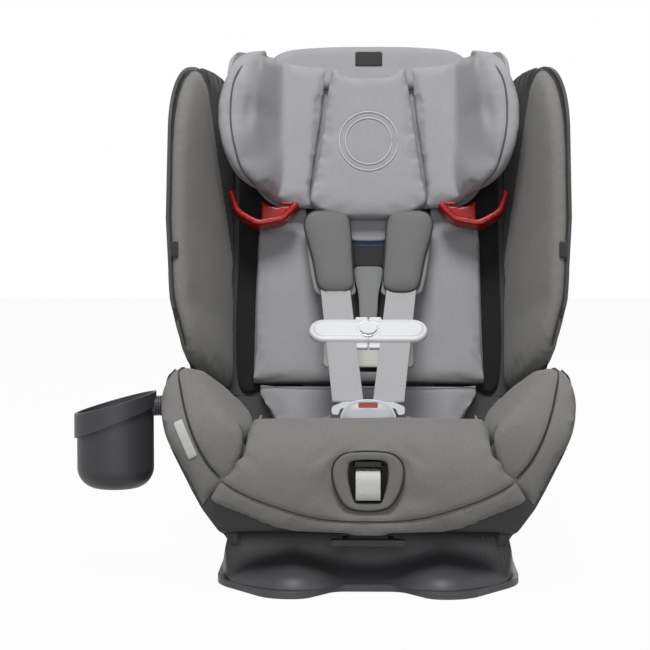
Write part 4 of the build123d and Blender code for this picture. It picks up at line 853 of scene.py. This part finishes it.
def finish_bolsters(bolster):
    subdivide(bolster)
    billow(bolster, 110, 0.9, 0.3)
    line = on_front(bolster, BOLSTER_SEAM)
    end = line[-1]
    tree = surface(bolster)
    over = [end]
    for k in range(1, 34):
        guess = Vector((end + np.array([-0.25 * k, 5.0 * k, 10])) * MM)
        over.append(np.array(tree.find_nearest(guess)[0]) / MM)
    line = soften_line(np.vstack([line, over[1:]]), 6)
    groove(bolster, line, 1.8, 3.4)
    for side, sign, piece in both_sides(bolster, "bolster_sewn"):
        dress(piece, COVER, "seat", "cover_fabric", f"bolster_cover_{side}", fill=0.85)
        piping(f"bolster_piping_{side}", line * (sign, 1, 1), 1.3, SEAM, "seat", "cover_fabric")


FRONT_SEAM = [(-168, 133), (-150, 122), (-119, 108), (-60, 90), (0, 86), (60, 90), (119, 108), (150, 122),
              (168, 133)]


def make_front_cushion():
    cushion = soft_copy("front_cushion_sewn", "seat_cushion", voxel=5, smooth=8, shrink=2.0)
    co = points_of(cushion)
    near_bezel = np.hypot(co[:, 0] / 44, (co[:, 2] - ADJUSTER_Z) / 38) < 1
    pinned = (near_bezel & (co[:, 1] < -150)) | (co[:, 1] > -195) & (co[:, 2] < 150)
    will_swell(cushion, 5.0, pinned=pinned)
    return cushion


def finish_front_cushion(cushion):
    subdivide(cushion)
    billow(cushion, 130, 1.0, 0.5)
    co, no = points_of(cushion), normals_of(cushion)
    angle = np.arctan2(co[:, 2] - ADJUSTER_Z, co[:, 0])
    reach = np.hypot(co[:, 0] / 46, (co[:, 2] - ADJUSTER_Z) / 39)
    ripple = np.sin(angle * 9 + 0.6) * np.exp(-((reach - 1.25) / 0.3) ** 2) * (co[:, 1] < -170)
    dip = np.exp(-((reach - 1.0) / 0.16) ** 2) * (co[:, 1] < -170)
    set_points(cushion, co + no * (0.7 * ripple - 2.2 * dip)[:, None])
    line = on_front(cushion, FRONT_SEAM)
    groove(cushion, line, 1.6, 3.0)
    dress(cushion, COVER, "seat", "cover_fabric", "seat_cushion", fill=0.75)
    piping("front_cushion_seam", line, 0.75, SEAM, "seat", "cover_fabric")


def make_liner():
    upper = soft_copy("back_liner_sewn", "back_liner", voxel=5, smooth=6, shrink=2.0)
    lower = soft_copy("seat_liner_sewn", "seat_liner", voxel=5, smooth=6, shrink=2.0)
    for piece in (upper, lower):
        co = points_of(piece)
        will_swell(piece, 4.0, pinned=(in_back(co)[0] > -8) & (co[:, 2] > 150))
    return upper, lower


def finish_liner(upper, lower):
    for piece, seed in ((upper, 0.2), (lower, 1.3)):
        subdivide(piece)
        billow(piece, 120, 0.9, seed)
    co, no = points_of(upper), normals_of(upper)
    h = in_back(co)[1]
    facing = np.clip(-no[:, 1], 0, 1)
    shoulders = 3.0 * np.exp(-((np.abs(co[:, 0]) - 108) / 34) ** 2) * np.exp(-((h - 262) / 70) ** 2)
    trough = -2.5 * np.exp(-((np.abs(co[:, 0]) - 62) / 16) ** 2) * np.clip((h - 150) / 60, 0, 1)
    tuck = -3.0 * np.clip((h - 266) / 16, 0, 1)       # room for the headrest at its lowest
    set_points(upper, co + no * ((shoulders * (h < 290) + trough + tuck) * facing)[:, None])
    dress(upper, LINER, "seat", "liner_fabric", "back_liner", fill=0.6)
    dress(lower, LINER, "seat", "liner_fabric", "seat_liner", fill=0.6)
    half = 147
    line = smooth_line([back(x, -29 + 4 * abs(x / half) ** 6, 78) for x in np.linspace(-half, half, 13)], 4)
    piping("liner_piping", line, 1.7, SEAM, "seat", "liner_fabric")


def make_back_mesh():
    """Black mesh over the back shell, beside the slot that the headrest moves in."""
    outline = smooth_line([(84, 80), (84, 280), (84, 468), (128, 474), (168, 470), (170, 280), (168, 84),
                           (126, 76)], 8, closed=True)
    right = pillow("back_mesh", outline, lambda u, v, w: back(u, -3.4 - w, v), 2.2, 2.2, 6, rings=10)
    for _, _, piece in both_sides(right, "back_mesh"):
        dress(piece, MESH, "seat", "foam", fill=0.3)


# ---------------------------------------------------------------- headrest
SIDE_PAD_MIDDLE = (104.0, 541.0)
SIDE_PAD_OUTLINE = [(104, 440), (136, 452), (154, 461), (171, 481), (183, 514), (187, 541), (188, 566),
                    (185, 591), (176, 612), (161, 630), (141, 638), (104, 636)]


def fit_outline(obj, middle, outline):
    """Stretch a pad, seen from the front, so that its outer side follows an (x, z) outline."""
    co = points_of(obj)
    x, z = co[:, 0] - middle[0], co[:, 2] - middle[1]
    turn, reach = np.arctan2(x, z), np.hypot(x, z)
    bins = np.linspace(0, pi, 37)
    now = [reach[np.abs(turn - a) < 0.06].max(initial=1) for a in bins]
    line = smooth_line(outline, 4) - middle
    wanted_turn = np.arctan2(line[:, 0], line[:, 1])
    order = np.argsort(wanted_turn)
    wanted = np.interp(bins, wanted_turn[order], np.hypot(line[:, 0], line[:, 1])[order])
    share = np.convolve(np.pad(wanted / now, 2, mode="edge"), np.ones(5) / 5, mode="valid")
    grow = np.interp(turn, bins, share)
    fade = np.clip(np.sin(np.clip(turn, 0, pi)) * 3, 0, 1)
    grow = 1 + (grow - 1) * fade * np.clip(reach / 60, 0, 1)
    co[:, 0] = middle[0] + x * grow
    co[:, 2] = middle[1] + z * grow
    set_points(obj, co)


def keep_near_seam(points, reach=16.0, band=10.0):
    """1 where a side pad meets the centre pad, falling to 0 a little way outwards."""
    rows = (points[:, 2] // band).astype(int)
    inner = {row: points[rows == row, 0].min() for row in set(rows)}
    away = points[:, 0] - np.array([inner[row] for row in rows])
    return np.clip(1 - away / reach, 0, 1)[:, None]


def make_head_pads():
    centre = soft_copy("headrest_centre_sewn", "headrest_centre_pad", voxel=4.5, smooth=5, shrink=0.2)
    side = soft_copy("headrest_side_sewn_right", "headrest_side_pad_right", voxel=4.5, smooth=9, shrink=0.4)
    sharp = points_of(side)
    soften(side, 26)
    seam = keep_near_seam(sharp)
    set_points(side, sharp * seam + points_of(side) * (1 - seam) - seam * (2.5, 0, 0))
    set_points(centre, points_of(centre) * (1.03, 1, 1))
    fit_outline(side, SIDE_PAD_MIDDLE, SIDE_PAD_OUTLINE)
    for piece in (centre, side):
        will_swell(piece, 4.5, pinned=in_back(points_of(piece))[0] > -6)
    return centre, side


def finish_head_pads(centre, side):
    for piece, seed in ((centre, 0.9), (side, 0.4)):
        subdivide(piece)
        billow(piece, 110, 0.7, seed)
    rings = [ring_line(centre, radius) for radius in (30, 38)]
    for line in rings:
        groove(centre, line, 0.8, 2.4)
    dress(centre, LINER, "headrest", "liner_fabric", "headrest_centre_pad", fill=0.7)
    for k, line in enumerate(rings):
        piping(f"headrest_stitching_{k + 1}", line, 1.1, THREAD, "headrest", "liner_fabric")
    rim = [(160, 616), (169, 598), (173, 574), (173, 544), (168, 514), (159, 484), (143, 462)]
    line = on_front(side, rim)
    groove(side, line, 1.6, 3.4)
    for name, sign, piece in both_sides(side, "headrest_side_sewn"):
        dress(piece, LINER, "headrest", "liner_fabric", f"headrest_side_pad_{name}", fill=0.7)
        piping(f"headrest_piping_{name}", line * (sign, 1, 1), 1.1, LINER_SEAM, "headrest", "liner_fabric")


def ring_line(obj, radius):
    """A plain stitched ring on the headrest's centre pad."""
    low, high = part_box("headrest_centre_pad")
    z = 0.5 * (low.z + high.z) / MM + 4
    turn = np.linspace(0, 2 * pi, 72)
    line = np.stack([radius * np.cos(turn), np.zeros(72), z + radius * np.sin(turn)], 1)
    return soften_line(trace(obj, line), 1)


def make_head_top():
    """The fabric panel over the headrest's top rear edge, with its blank tag."""
    outline = smooth_line([(-128, 474), (-132, 500), (-112, 519), (-60, 525), (0, 526), (60, 525), (112, 519),
                           (132, 500), (128, 474), (60, 468), (-60, 468)], 6, closed=True)
    panel = pillow("headrest_top_panel", outline, lambda u, v, w: back(u, -37 - w, v), 10, 8, 12, rings=12)
    dress(panel, LINER, "headrest", "liner_fabric", "headrest_rear_cover", fill=0.3)
    tag = pillow("headrest_blank_tag", rounded_loop(36, 20, 2), lambda u, v, w: back(u, -47.6 - w, 506 + v),
                 0.5, 0.5, 1, rings=5)
    dress(tag, TAG, "headrest", "tag_fabric")


def rounded_loop(width, height, radius, step=2.0):
    """A closed rectangle with rounded corners."""
    points = []
    for cx, cy, a0 in ((1, 1, 0), (-1, 1, 90), (-1, -1, 180), (1, -1, 270)):
        for k in range(7):
            a = radians(a0 + 15 * k)
            x, y = cx * (width / 2 - radius), cy * (height / 2 - radius)
            points.append((x + radius * cos(a), y + radius * sin(a)))
    line = polyline(points + points[:1], step)
    return line[:-1]


# ---------------------------------------------------------------- harness
def strap_point(along, x, lift=0.0):
    """A point on the front run of a shoulder strap, lifted off it towards the child."""
    return (x, TONGUE[0] + along * cos(STRAP_RISE) - lift * sin(STRAP_RISE),
            TONGUE[1] + along * sin(STRAP_RISE) + lift * cos(STRAP_RISE))


def strap_x(along):
    """The strap's distance from the middle, from its tongue to its pad."""
    return STRAP_LOW_X + (STRAP_HIGH_X - STRAP_LOW_X) * along / STRAP_RUN


def make_straps():
    """Each shoulder strap is two lengths of webbing that meet inside its pad."""
    low = np.array(strap_point(STRAP_RUN, STRAP_HIGH_X))
    high = np.array(back(SHOULDER_X, -52, 283))
    for side, name in ((1, "right"), (-1, "left")):
        across = np.array([side, 0, 0], float)
        front = polyline([strap_point(-12, strap_x(-12)), low, low + 0.5 * (high - low)], 4)
        front = soften_line(front, 14) * (side, 1, 1)
        wave = np.sin(np.linspace(0, 9, len(front))) * 0.5
        front[:, 1] -= wave * np.sin(np.linspace(0, pi, len(front)))
        lower = ribbon(f"harness_webbing_front_{name}", front, across, WEBBING - 0.4, 1.5, crown=0.5)
        lower.data.materials.append(STRAP)
        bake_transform(lower)
        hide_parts(f"shoulder_strap_{name}")
        behind = [back(SHOULDER_X, d, h) for d, h in ((-12, 282), (11, 276), (11, 154), (19, 154))]
        rear = polyline([low + 0.42 * (high - low), high, *behind], 3)
        rear = soften_line(rear, 6) * (side, 1, 1)
        upper = ribbon(f"harness_webbing_rear_{name}", rear, across, WEBBING - 0.4, 1.5)
        upper.data.materials.append(STRAP)
        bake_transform(upper)


def make_shoulder_pads():
    """A rounded dark pad with piping, on a lighter backing layer."""
    low = np.array(strap_point(STRAP_RUN + 6, 0))
    high = np.array(back(0, -52, 283))
    along = (high - low) / np.linalg.norm(high - low)
    length = 112.0
    out = np.array([0, -along[2], along[1]])

    def place(u, v, w, middle=47.0):
        x = middle + u + (v / length) * 12
        return low + along * (v + length / 2) + out * w + np.array([x, 0, 0])

    shape = [(-23, -44), (-16, -55), (0, -58), (15, -56), (22, -46), (25, -10), (31, 30), (28, 48), (16, 57),
             (-8, 58), (-24, 52), (-27, 34), (-25, -5)]
    loop = smooth_line(shape, 4, closed=True)
    pad = pillow("shoulder_pad_sewn_right", loop, lambda u, v, w: place(u, v, w + 2), 10.0, 3.0, 22, rings=16)
    under = smooth_line([(-23, -58), (0, -60), (24, -58), (29, -40), (31, 0), (30, 44), (22, 57), (0, 58),
                         (-22, 56), (-25, 40), (-25, -40)], 4, closed=True)
    backing = pillow("shoulder_pad_backing_right", under, lambda u, v, w: place(u, v, w - 4), 3.0, 3.0, 4,
                     rings=10)
    line = np.array([place(u, v, 3.2) for u, v in np.vstack([loop, loop[:1]]) * 1.01])
    line = soften_line(line, 2)
    return pad, backing, line


def finish_shoulder_pads(pad, backing, line):
    for side, sign, piece in both_sides(pad, "shoulder_pad_sewn"):
        dress(piece, PAD, "headrest", "pad_fabric", f"shoulder_pad_{side}", fill=0.7)
        piping(f"shoulder_pad_piping_{side}", line * (sign, 1, 1), 1.2, SEAM, "headrest", "pad_fabric")
    for _, _, piece in both_sides(backing, "shoulder_pad_backing"):
        dress(piece, BACKING, "headrest", "pad_fabric", fill=0.4)


def make_flap_and_tag():
    """The grey flap under the headrest and the blank tag with its two stripes."""
    flap_loop = smooth_line([(-25, 17), (-25, -4), (-22, -15), (-14, -17), (14, -17), (22, -15), (25, -4),
                             (25, 17), (0, 18)], 3, closed=True)
    flap = pillow("headrest_flap_sewn", flap_loop, lambda u, v, w: back(u, -31 - w, 281 + v), 1.8, 1.6, 3,
                  rings=10)
    dress(flap, LINER, "headrest", "liner_fabric", "headrest_flap", fill=0.3)
    tag = pillow("harness_tag_sewn", rounded_loop(43, 38, 2), lambda u, v, w: back(u, -28.4 - w, 249 + v),
                 0.7, 0.5, 1.5, rings=6)
    dress(tag, TAG, "headrest", "tag_fabric", "harness_tag")
    for k, v in enumerate((14.5, 8.5)):
        line = [back(u, -29.6, 249 + v - 0.004 * (u**2) * (1 - k)) for u in np.linspace(-20, 20, 12)]
        piping(f"harness_tag_stripe_{k + 1}", line, 0.7, STRIPE, "headrest", "tag_fabric")
    wedge = smooth_line([(-17, 18), (17, 18), (13, -20), (9, -56), (-9, -56), (-13, -20)], 4, closed=True)
    panel = pillow("harness_centre_panel", wedge, lambda u, v, w: back(u, -27.6 - w, 212 + v), 1.2, 0.8, 4,
                   rings=8)
    dress(panel, BACKING, "headrest", "liner_fabric")


def clip_place(u, v, w):
    """(across, up, out) on the chest clip."""
    return (u, TONGUE[0] + CLIP_ALONG * cos(STRAP_RISE) + v * cos(STRAP_RISE) - w * sin(STRAP_RISE),
            TONGUE[1] + CLIP_ALONG * sin(STRAP_RISE) + v * sin(STRAP_RISE) + w * cos(STRAP_RISE))


def make_chest_clip():
    """Two halves with a raised inner plate, split tabs and the button's ring."""
    half_long, radius = 74.0, 19.0

    def height(u, v):
        e = radius - np.hypot(np.clip(np.abs(u) - (half_long - radius), 0, None), v)
        edge = np.sqrt(np.clip(1 - (1 - np.clip(e / 3.5, 0, 1)) ** 2, 0, 1)) * 4.6
        plate = 1.7 / (1 + np.exp(-(e - 6.2) / 0.5))
        dish = 1.1 / (1 + np.exp((np.hypot(u, v) - 14.6) / 0.4))
        return np.clip(edge + plate - dish, 0.05, None)

    rows, cols = 38, 84
    for sign, name in ((1, "right"), (-1, "left")):
        x = 0.2 + (half_long - 0.2) * np.sin(np.linspace(0, pi / 2, cols))
        flat = []
        for a in x:
            tip = max(a - (half_long - radius), 0)
            reach = sqrt(max(radius**2 - tip**2, 0.01))
            flat.append([(a, reach * sin(b)) for b in np.linspace(-pi / 2, pi / 2, rows)])
        flat = np.array(flat)
        u, v = flat[..., 0].ravel(), flat[..., 1].ravel()
        front = height(u, v)
        top = [clip_place(sign * a, b, c) for a, b, c in zip(u, v, front)]
        low = [clip_place(sign * a, b, -min(c, 5.0)) for a, b, c in zip(u, v, front)]
        n = len(top)
        faces = []
        for i in range(cols - 1):
            for j in range(rows - 1):
                q = (i * rows + j, (i + 1) * rows + j, (i + 1) * rows + j + 1, i * rows + j + 1)
                faces += [q, tuple(n + k for k in q)]
        ring = list(range(rows)) + [i * rows + rows - 1 for i in range(1, cols)]
        ring += [(cols - 1) * rows + j for j in range(rows - 2, -1, -1)]
        ring += [i * rows for i in range(cols - 2, 0, -1)]
        faces += [(ring[k], ring[(k + 1) % len(ring)], n + ring[(k + 1) % len(ring)], n + ring[k])
                  for k in range(len(ring))]
        clip = new_object(f"chest_clip_shell_{name}", top + low, faces)
        tabs = []
        for v0 in (1, -1):
            loop = rounded_loop(16.4, 12, 1.8, 1.0) + (8.5, v0 * 21.5)
            tabs.append(pillow("tab", loop, lambda u, v, w, s=sign: clip_place(s * u, v, w - 3), 2.4, 2.4,
                               1.2, rings=5))
        clip = joined(f"chest_clip_shell_{name}", clip, *tabs)
        dress(clip, WHITE, "chest_clip", "clip_plastic", f"chest_clip_{name}")
    turn = np.linspace(0, 2 * pi, 64)
    ring = [clip_place(12.9 * cos(a), 12.9 * sin(a), 5.4) for a in turn]
    dress(tube("chest_clip_ring", ring, 0.9), CHROME, "chest_clip", "clip_plastic")


def buckle_place(u, v, w):
    """(across, up, out) on the buckle."""
    lean = BUCKLE_LEAN
    return (u, BUCKLE[0] - w * cos(lean) + v * sin(lean), BUCKLE[1] + w * sin(lean) + v * cos(lean))


def make_buckle():
    """The buckle's domed front cover with its rim; the red button shows at its top."""
    loop = smooth_line([(-26, -40), (-31, -22), (-32, -8), (-24, 4), (-12, 8.6), (0, 9.8), (12, 8.6), (24, 4),
                        (32, -8), (31, -22), (26, -40), (0, -44)], 2.5, closed=True)
    cover = pillow("buckle_cover", loop, lambda u, v, w: buckle_place(u, v, 10 + w), 8.5, 4.0, 16, rings=16)

    def pocket(low, behind, front):
        """Room for the button, from a height below the mouth up to its top."""
        tool = rounded_loop(23.2, 7.0 - low, 0.8, 1.0) + (0, (7.0 + low) / 2)
        middle = (behind + front) / 2
        reach = (front - behind) / 2
        return pillow("slot", tool, lambda u, v, w: buckle_place(u, v, middle + w), reach, reach, 0.6,
                      rings=4)

    cut(cover, pocket(0, 4, 25))
    cut(cover, pocket(-7, 4, 16))
    block = pillow("block", rounded_loop(68, 44, 9, 3.0) + (0, -24), buckle_place, 11, 11, 4, rings=8)
    cut(block, pocket(-7, 4, 16))
    cover = joined("buckle_cover", cover, block)
    dress(cover, PALE, "seat", "trim_plastic", "buckle_body")
    edge = smooth_line([(-31, -18), (-32, -8), (-24, 4), (-12, 8.6), (0, 9.8), (12, 8.6), (24, 4), (32, -8),
                        (31, -18)], 2)
    rim = [buckle_place(u * 0.985, v * 0.985, 12.0) for u, v in edge]
    dress(tube("buckle_rim", rim, 1.5), WHITE, "seat", "clip_plastic")


# ---------------------------------------------------------------- adjuster, tags and small trim
def ring_pad(name, outer, inner, place, height):
    """A flat ring between two outlines with rounded edges."""
    n = 96

    def even(loop):
        closed = np.vstack([loop, loop[:1]])
        along = lengths(closed)
        at = np.linspace(0, along[-1], n, endpoint=False)
        return np.stack([np.interp(at, along, closed[:, k]) for k in range(2)], 1)

    a, b = even(np.asarray(outer)), even(np.asarray(inner))
    start = np.argmin(np.linalg.norm(b - a[0] * 0.6, axis=1))
    b = np.roll(b, -start, axis=0)
    rows = []
    steps = [(0, 0), (0.02, 0.5), (0.1, 0.9), (0.25, 1), (0.5, 1.0), (0.75, 0.95), (0.9, 0.75), (0.98, 0.4),
             (1, -0.4), (1, -1)]
    for t, w in steps:
        rows.append([place(*(p + (q - p) * t), w * height) for p, q in zip(a, b)])
    rows.append([place(*p, -height) for p in a])
    verts = [v for row in rows for v in row]
    return new_object(name, verts, quads([r * n for r in range(len(rows))] + [0], n))


def make_adjuster():
    """The bezel round the adjuster's opening, with piping, and its loop of webbing."""
    outer = smooth_line([(-20, 33), (20, 33), (36, 24), (40, 8), (34, -14), (22, -29), (0, -33), (-22, -29),
                         (-34, -14), (-40, 8), (-36, 24)], 2, closed=True)
    inner = smooth_line([(-17, 24), (17, 24), (22.5, 15), (22, 0), (16, -22), (12, -24.5), (-12, -24.5),
                         (-16, -22), (-22, 0), (-22.5, 15)], 2, closed=True)

    def place(u, v, w):
        return (u, ADJUSTER_Y - w, ADJUSTER_Z + v)

    bezel = ring_pad("adjuster_bezel_trim", outer, inner, place, 2.6)
    dress(bezel, BEZEL, "seat", "trim_plastic", "adjuster_bezel")
    line = [place(u, v, 0.6) for u, v in np.vstack([outer, outer[:1]]) * 1.015]
    piping("adjuster_piping", line, 1.2, SEAM, "seat", "cover_fabric")
    loop = [(-201, 112), (-214, 110.5), (-218.6, 116), (-219.5, 126), (-218.8, 136), (-214, 141.5),
            (-205, 141.5), (-170, 141), (-140, 126), (-113, 112), (-60, 107), (92, 107), (117, 118),
            (126, 150), (158, 262)]
    path = smooth_line([(0, a, b) for a, b in loop], 3)
    strap = ribbon("adjuster_webbing", path, (1, 0, 0), 28, 1.5)
    dress(strap, PULL, "seat", "webbing", "adjuster_strap")


WING_TAG_H = 210.0


def make_tags():
    """Blank tags sewn into the bolster and the wings, and the blank label on the liner."""
    tilt = radians(24)
    bolster = surface(bpy.data.objects["bolster_sewn_left"])

    def bolster_tag(u, v, w):
        x, z = -207 + u * cos(tilt) - v * sin(tilt), 178 + u * sin(tilt) + v * cos(tilt)
        hit = bolster.ray_cast(Vector((x, -600, z)) * MM, Vector((0, 1, 0)))[0]
        y = -208 if hit is None else hit.y / MM
        return (x, y - 0.7 - w, z)

    tag = pillow("bolster_blank_tag", rounded_loop(11, 46, 1), bolster_tag, 0.6, 0.5, 1, rings=5)
    dress(tag, FOIL, "seat", "tag_fabric", "cover_tags")
    for sign, name in ((1, "right"), (-1, "left")):
        def wing_tag(u, v, w, s=sign):
            return back(s * (wing_half(WING_TAG_H) - 14 + u), -200.8 - w, WING_TAG_H + v)

        piece = pillow("tag", rounded_loop(9, 20, 1), wing_tag, 0.6, 0.5, 1, rings=5)
        piece.name = f"wing_blank_tag_{name}"
        dress(piece, TAG, "seat", "tag_fabric")
    label = pillow("liner_blank_label", rounded_loop(118, 40, 5), lambda u, v, w: back(u, -26.5 - w, 118 + v),
                   0.5, 0.5, 1, rings=6)
    dress(label, LABEL, "seat", "liner_fabric")


def make_base():
    """The base's upper shell: two toes that rise to a cradle, with the soft transitions of a moulding."""
    half, toe, rear = 172.0, -222.0, 200.0
    loop = smooth_line([(0, toe + 40), (26, toe + 38), (52, toe + 12), (82, toe), (112, toe + 8),
                        (145, toe + 38), (168, toe + 84), (half, -60), (half, 60), (half - 7, rear - 60),
                        (half - 30, rear - 12), (half - 60, rear), (0, rear)], 5)
    loop = np.vstack([loop, (loop * (-1, 1))[-2:0:-1]])
    centre = np.array([0.0, -10.0])
    scales = 1 - np.linspace(0, 1, 72, endpoint=False) ** 1.25
    flat = np.vstack([centre + (loop - centre) * k for k in scales] + [centre[None]])
    x, y = flat[:, 0], flat[:, 1]
    inside = edge_distance(flat, loop)
    toes = 9 + 22 * (1 - np.exp(-inside / 7)) * 0.55 + 0.3 * inside - 5 * np.exp(-(x / 42) ** 2) * (y < -120)
    cradle = RECLINE[1] - np.sqrt(CRADLE_RADIUS**2 - (y - RECLINE[0]) ** 2)
    wall = 1 / (1 + np.exp(-(y - CRADLE_FRONT) / 2.2))
    body = toes + (cradle - toes) * wall
    sides = 9 + 5.0 * (half - np.abs(x)) + 9 * (1 - np.exp(-(half - np.abs(x)) / 3))
    back_edge = 9 + 6.0 * (rear - y)
    height = -8 * np.log(sum(np.exp(-np.clip(h, 0, 400) / 8) for h in (body, sides, back_edge)))
    height = np.maximum(height, 8.5)
    n = len(loop)
    tip = len(scales) * n
    top = list(zip(x, y, height))
    low = [(a, b, 8.0) for a, b in loop]
    faces = quads(range(0, tip, n), n) + quads([0, tip + 1], n)
    faces += [(tip - n + k, tip - n + (k + 1) % n, tip) for k in range(n)]
    faces.append(tuple(tip + 1 + k for k in range(n)))
    shell = new_object("base_shell_moulded", top + low, faces)
    dress(shell, BASE, "base", "shell_plastic", "base_shell")


def make_belt_guides():
    """The glossy guides with moulded, rounded edges."""
    for side in ("right", "left"):
        piece = joined(f"belt_guide_moulded_{side}", NODES[f"belt_guide_{side}"])
        remesh(piece, 1.5)
        soften(piece, 7)
        set_points(piece, points_of(piece) + 0.6 * normals_of(piece))
        dress(piece, RED, "headrest", "red_plastic", f"belt_guide_{side}")


# ---------------------------------------------------------------- CAD nodes that stay
KEPT = {
    BASE: ["base_plate", "rear_cover"],
    SHELL: ["seat_shell", "back_shell", "recline_track_left", "recline_track_right", "recline_handle",
            "headrest_carrier", "adjuster_housing", "adjuster_lever", "cup_bracket"],
    TRIM: ["cup_holder", "cup_ring", "headrest_handle"],
    STEEL: ["recline_rack", "recline_latch", "headrest_guide_rods", "harness_splitter_plate",
            "crotch_strap_anchor", "base_screws", "back_screws", "headrest_lock_pin_left",
            "headrest_lock_pin_right"],
    RED: ["buckle_button"],
    WHITE: ["chest_clip_button", "buckle_tongue_left", "buckle_tongue_right"],
    RUBBER: ["foot_pads"],
    LINER: ["headrest_shell"],
    STRAP: ["lap_strap_left", "lap_strap_right", "crotch_strap"],
}


def dress_nodes():
    for material, names in KEPT.items():
        for name in names:
            obj = NODES[name]
            obj.data.materials.clear()
            obj.data.materials.append(material)


studio()
dress_nodes()
wing = make_wings()
bolster = make_bolsters()
cushion = make_front_cushion()
liner = make_liner()
head = make_head_pads()
pads = make_shoulder_pads()
run_cloth()
finish_wings(wing)
finish_bolsters(bolster)
finish_front_cushion(cushion)
finish_liner(*liner)
finish_head_pads(*head)
finish_shoulder_pads(*pads)
make_back_mesh()
make_head_top()
make_straps()
make_flap_and_tag()
make_chest_clip()
make_buckle()
make_adjuster()
make_tags()
make_base()
make_belt_guides()
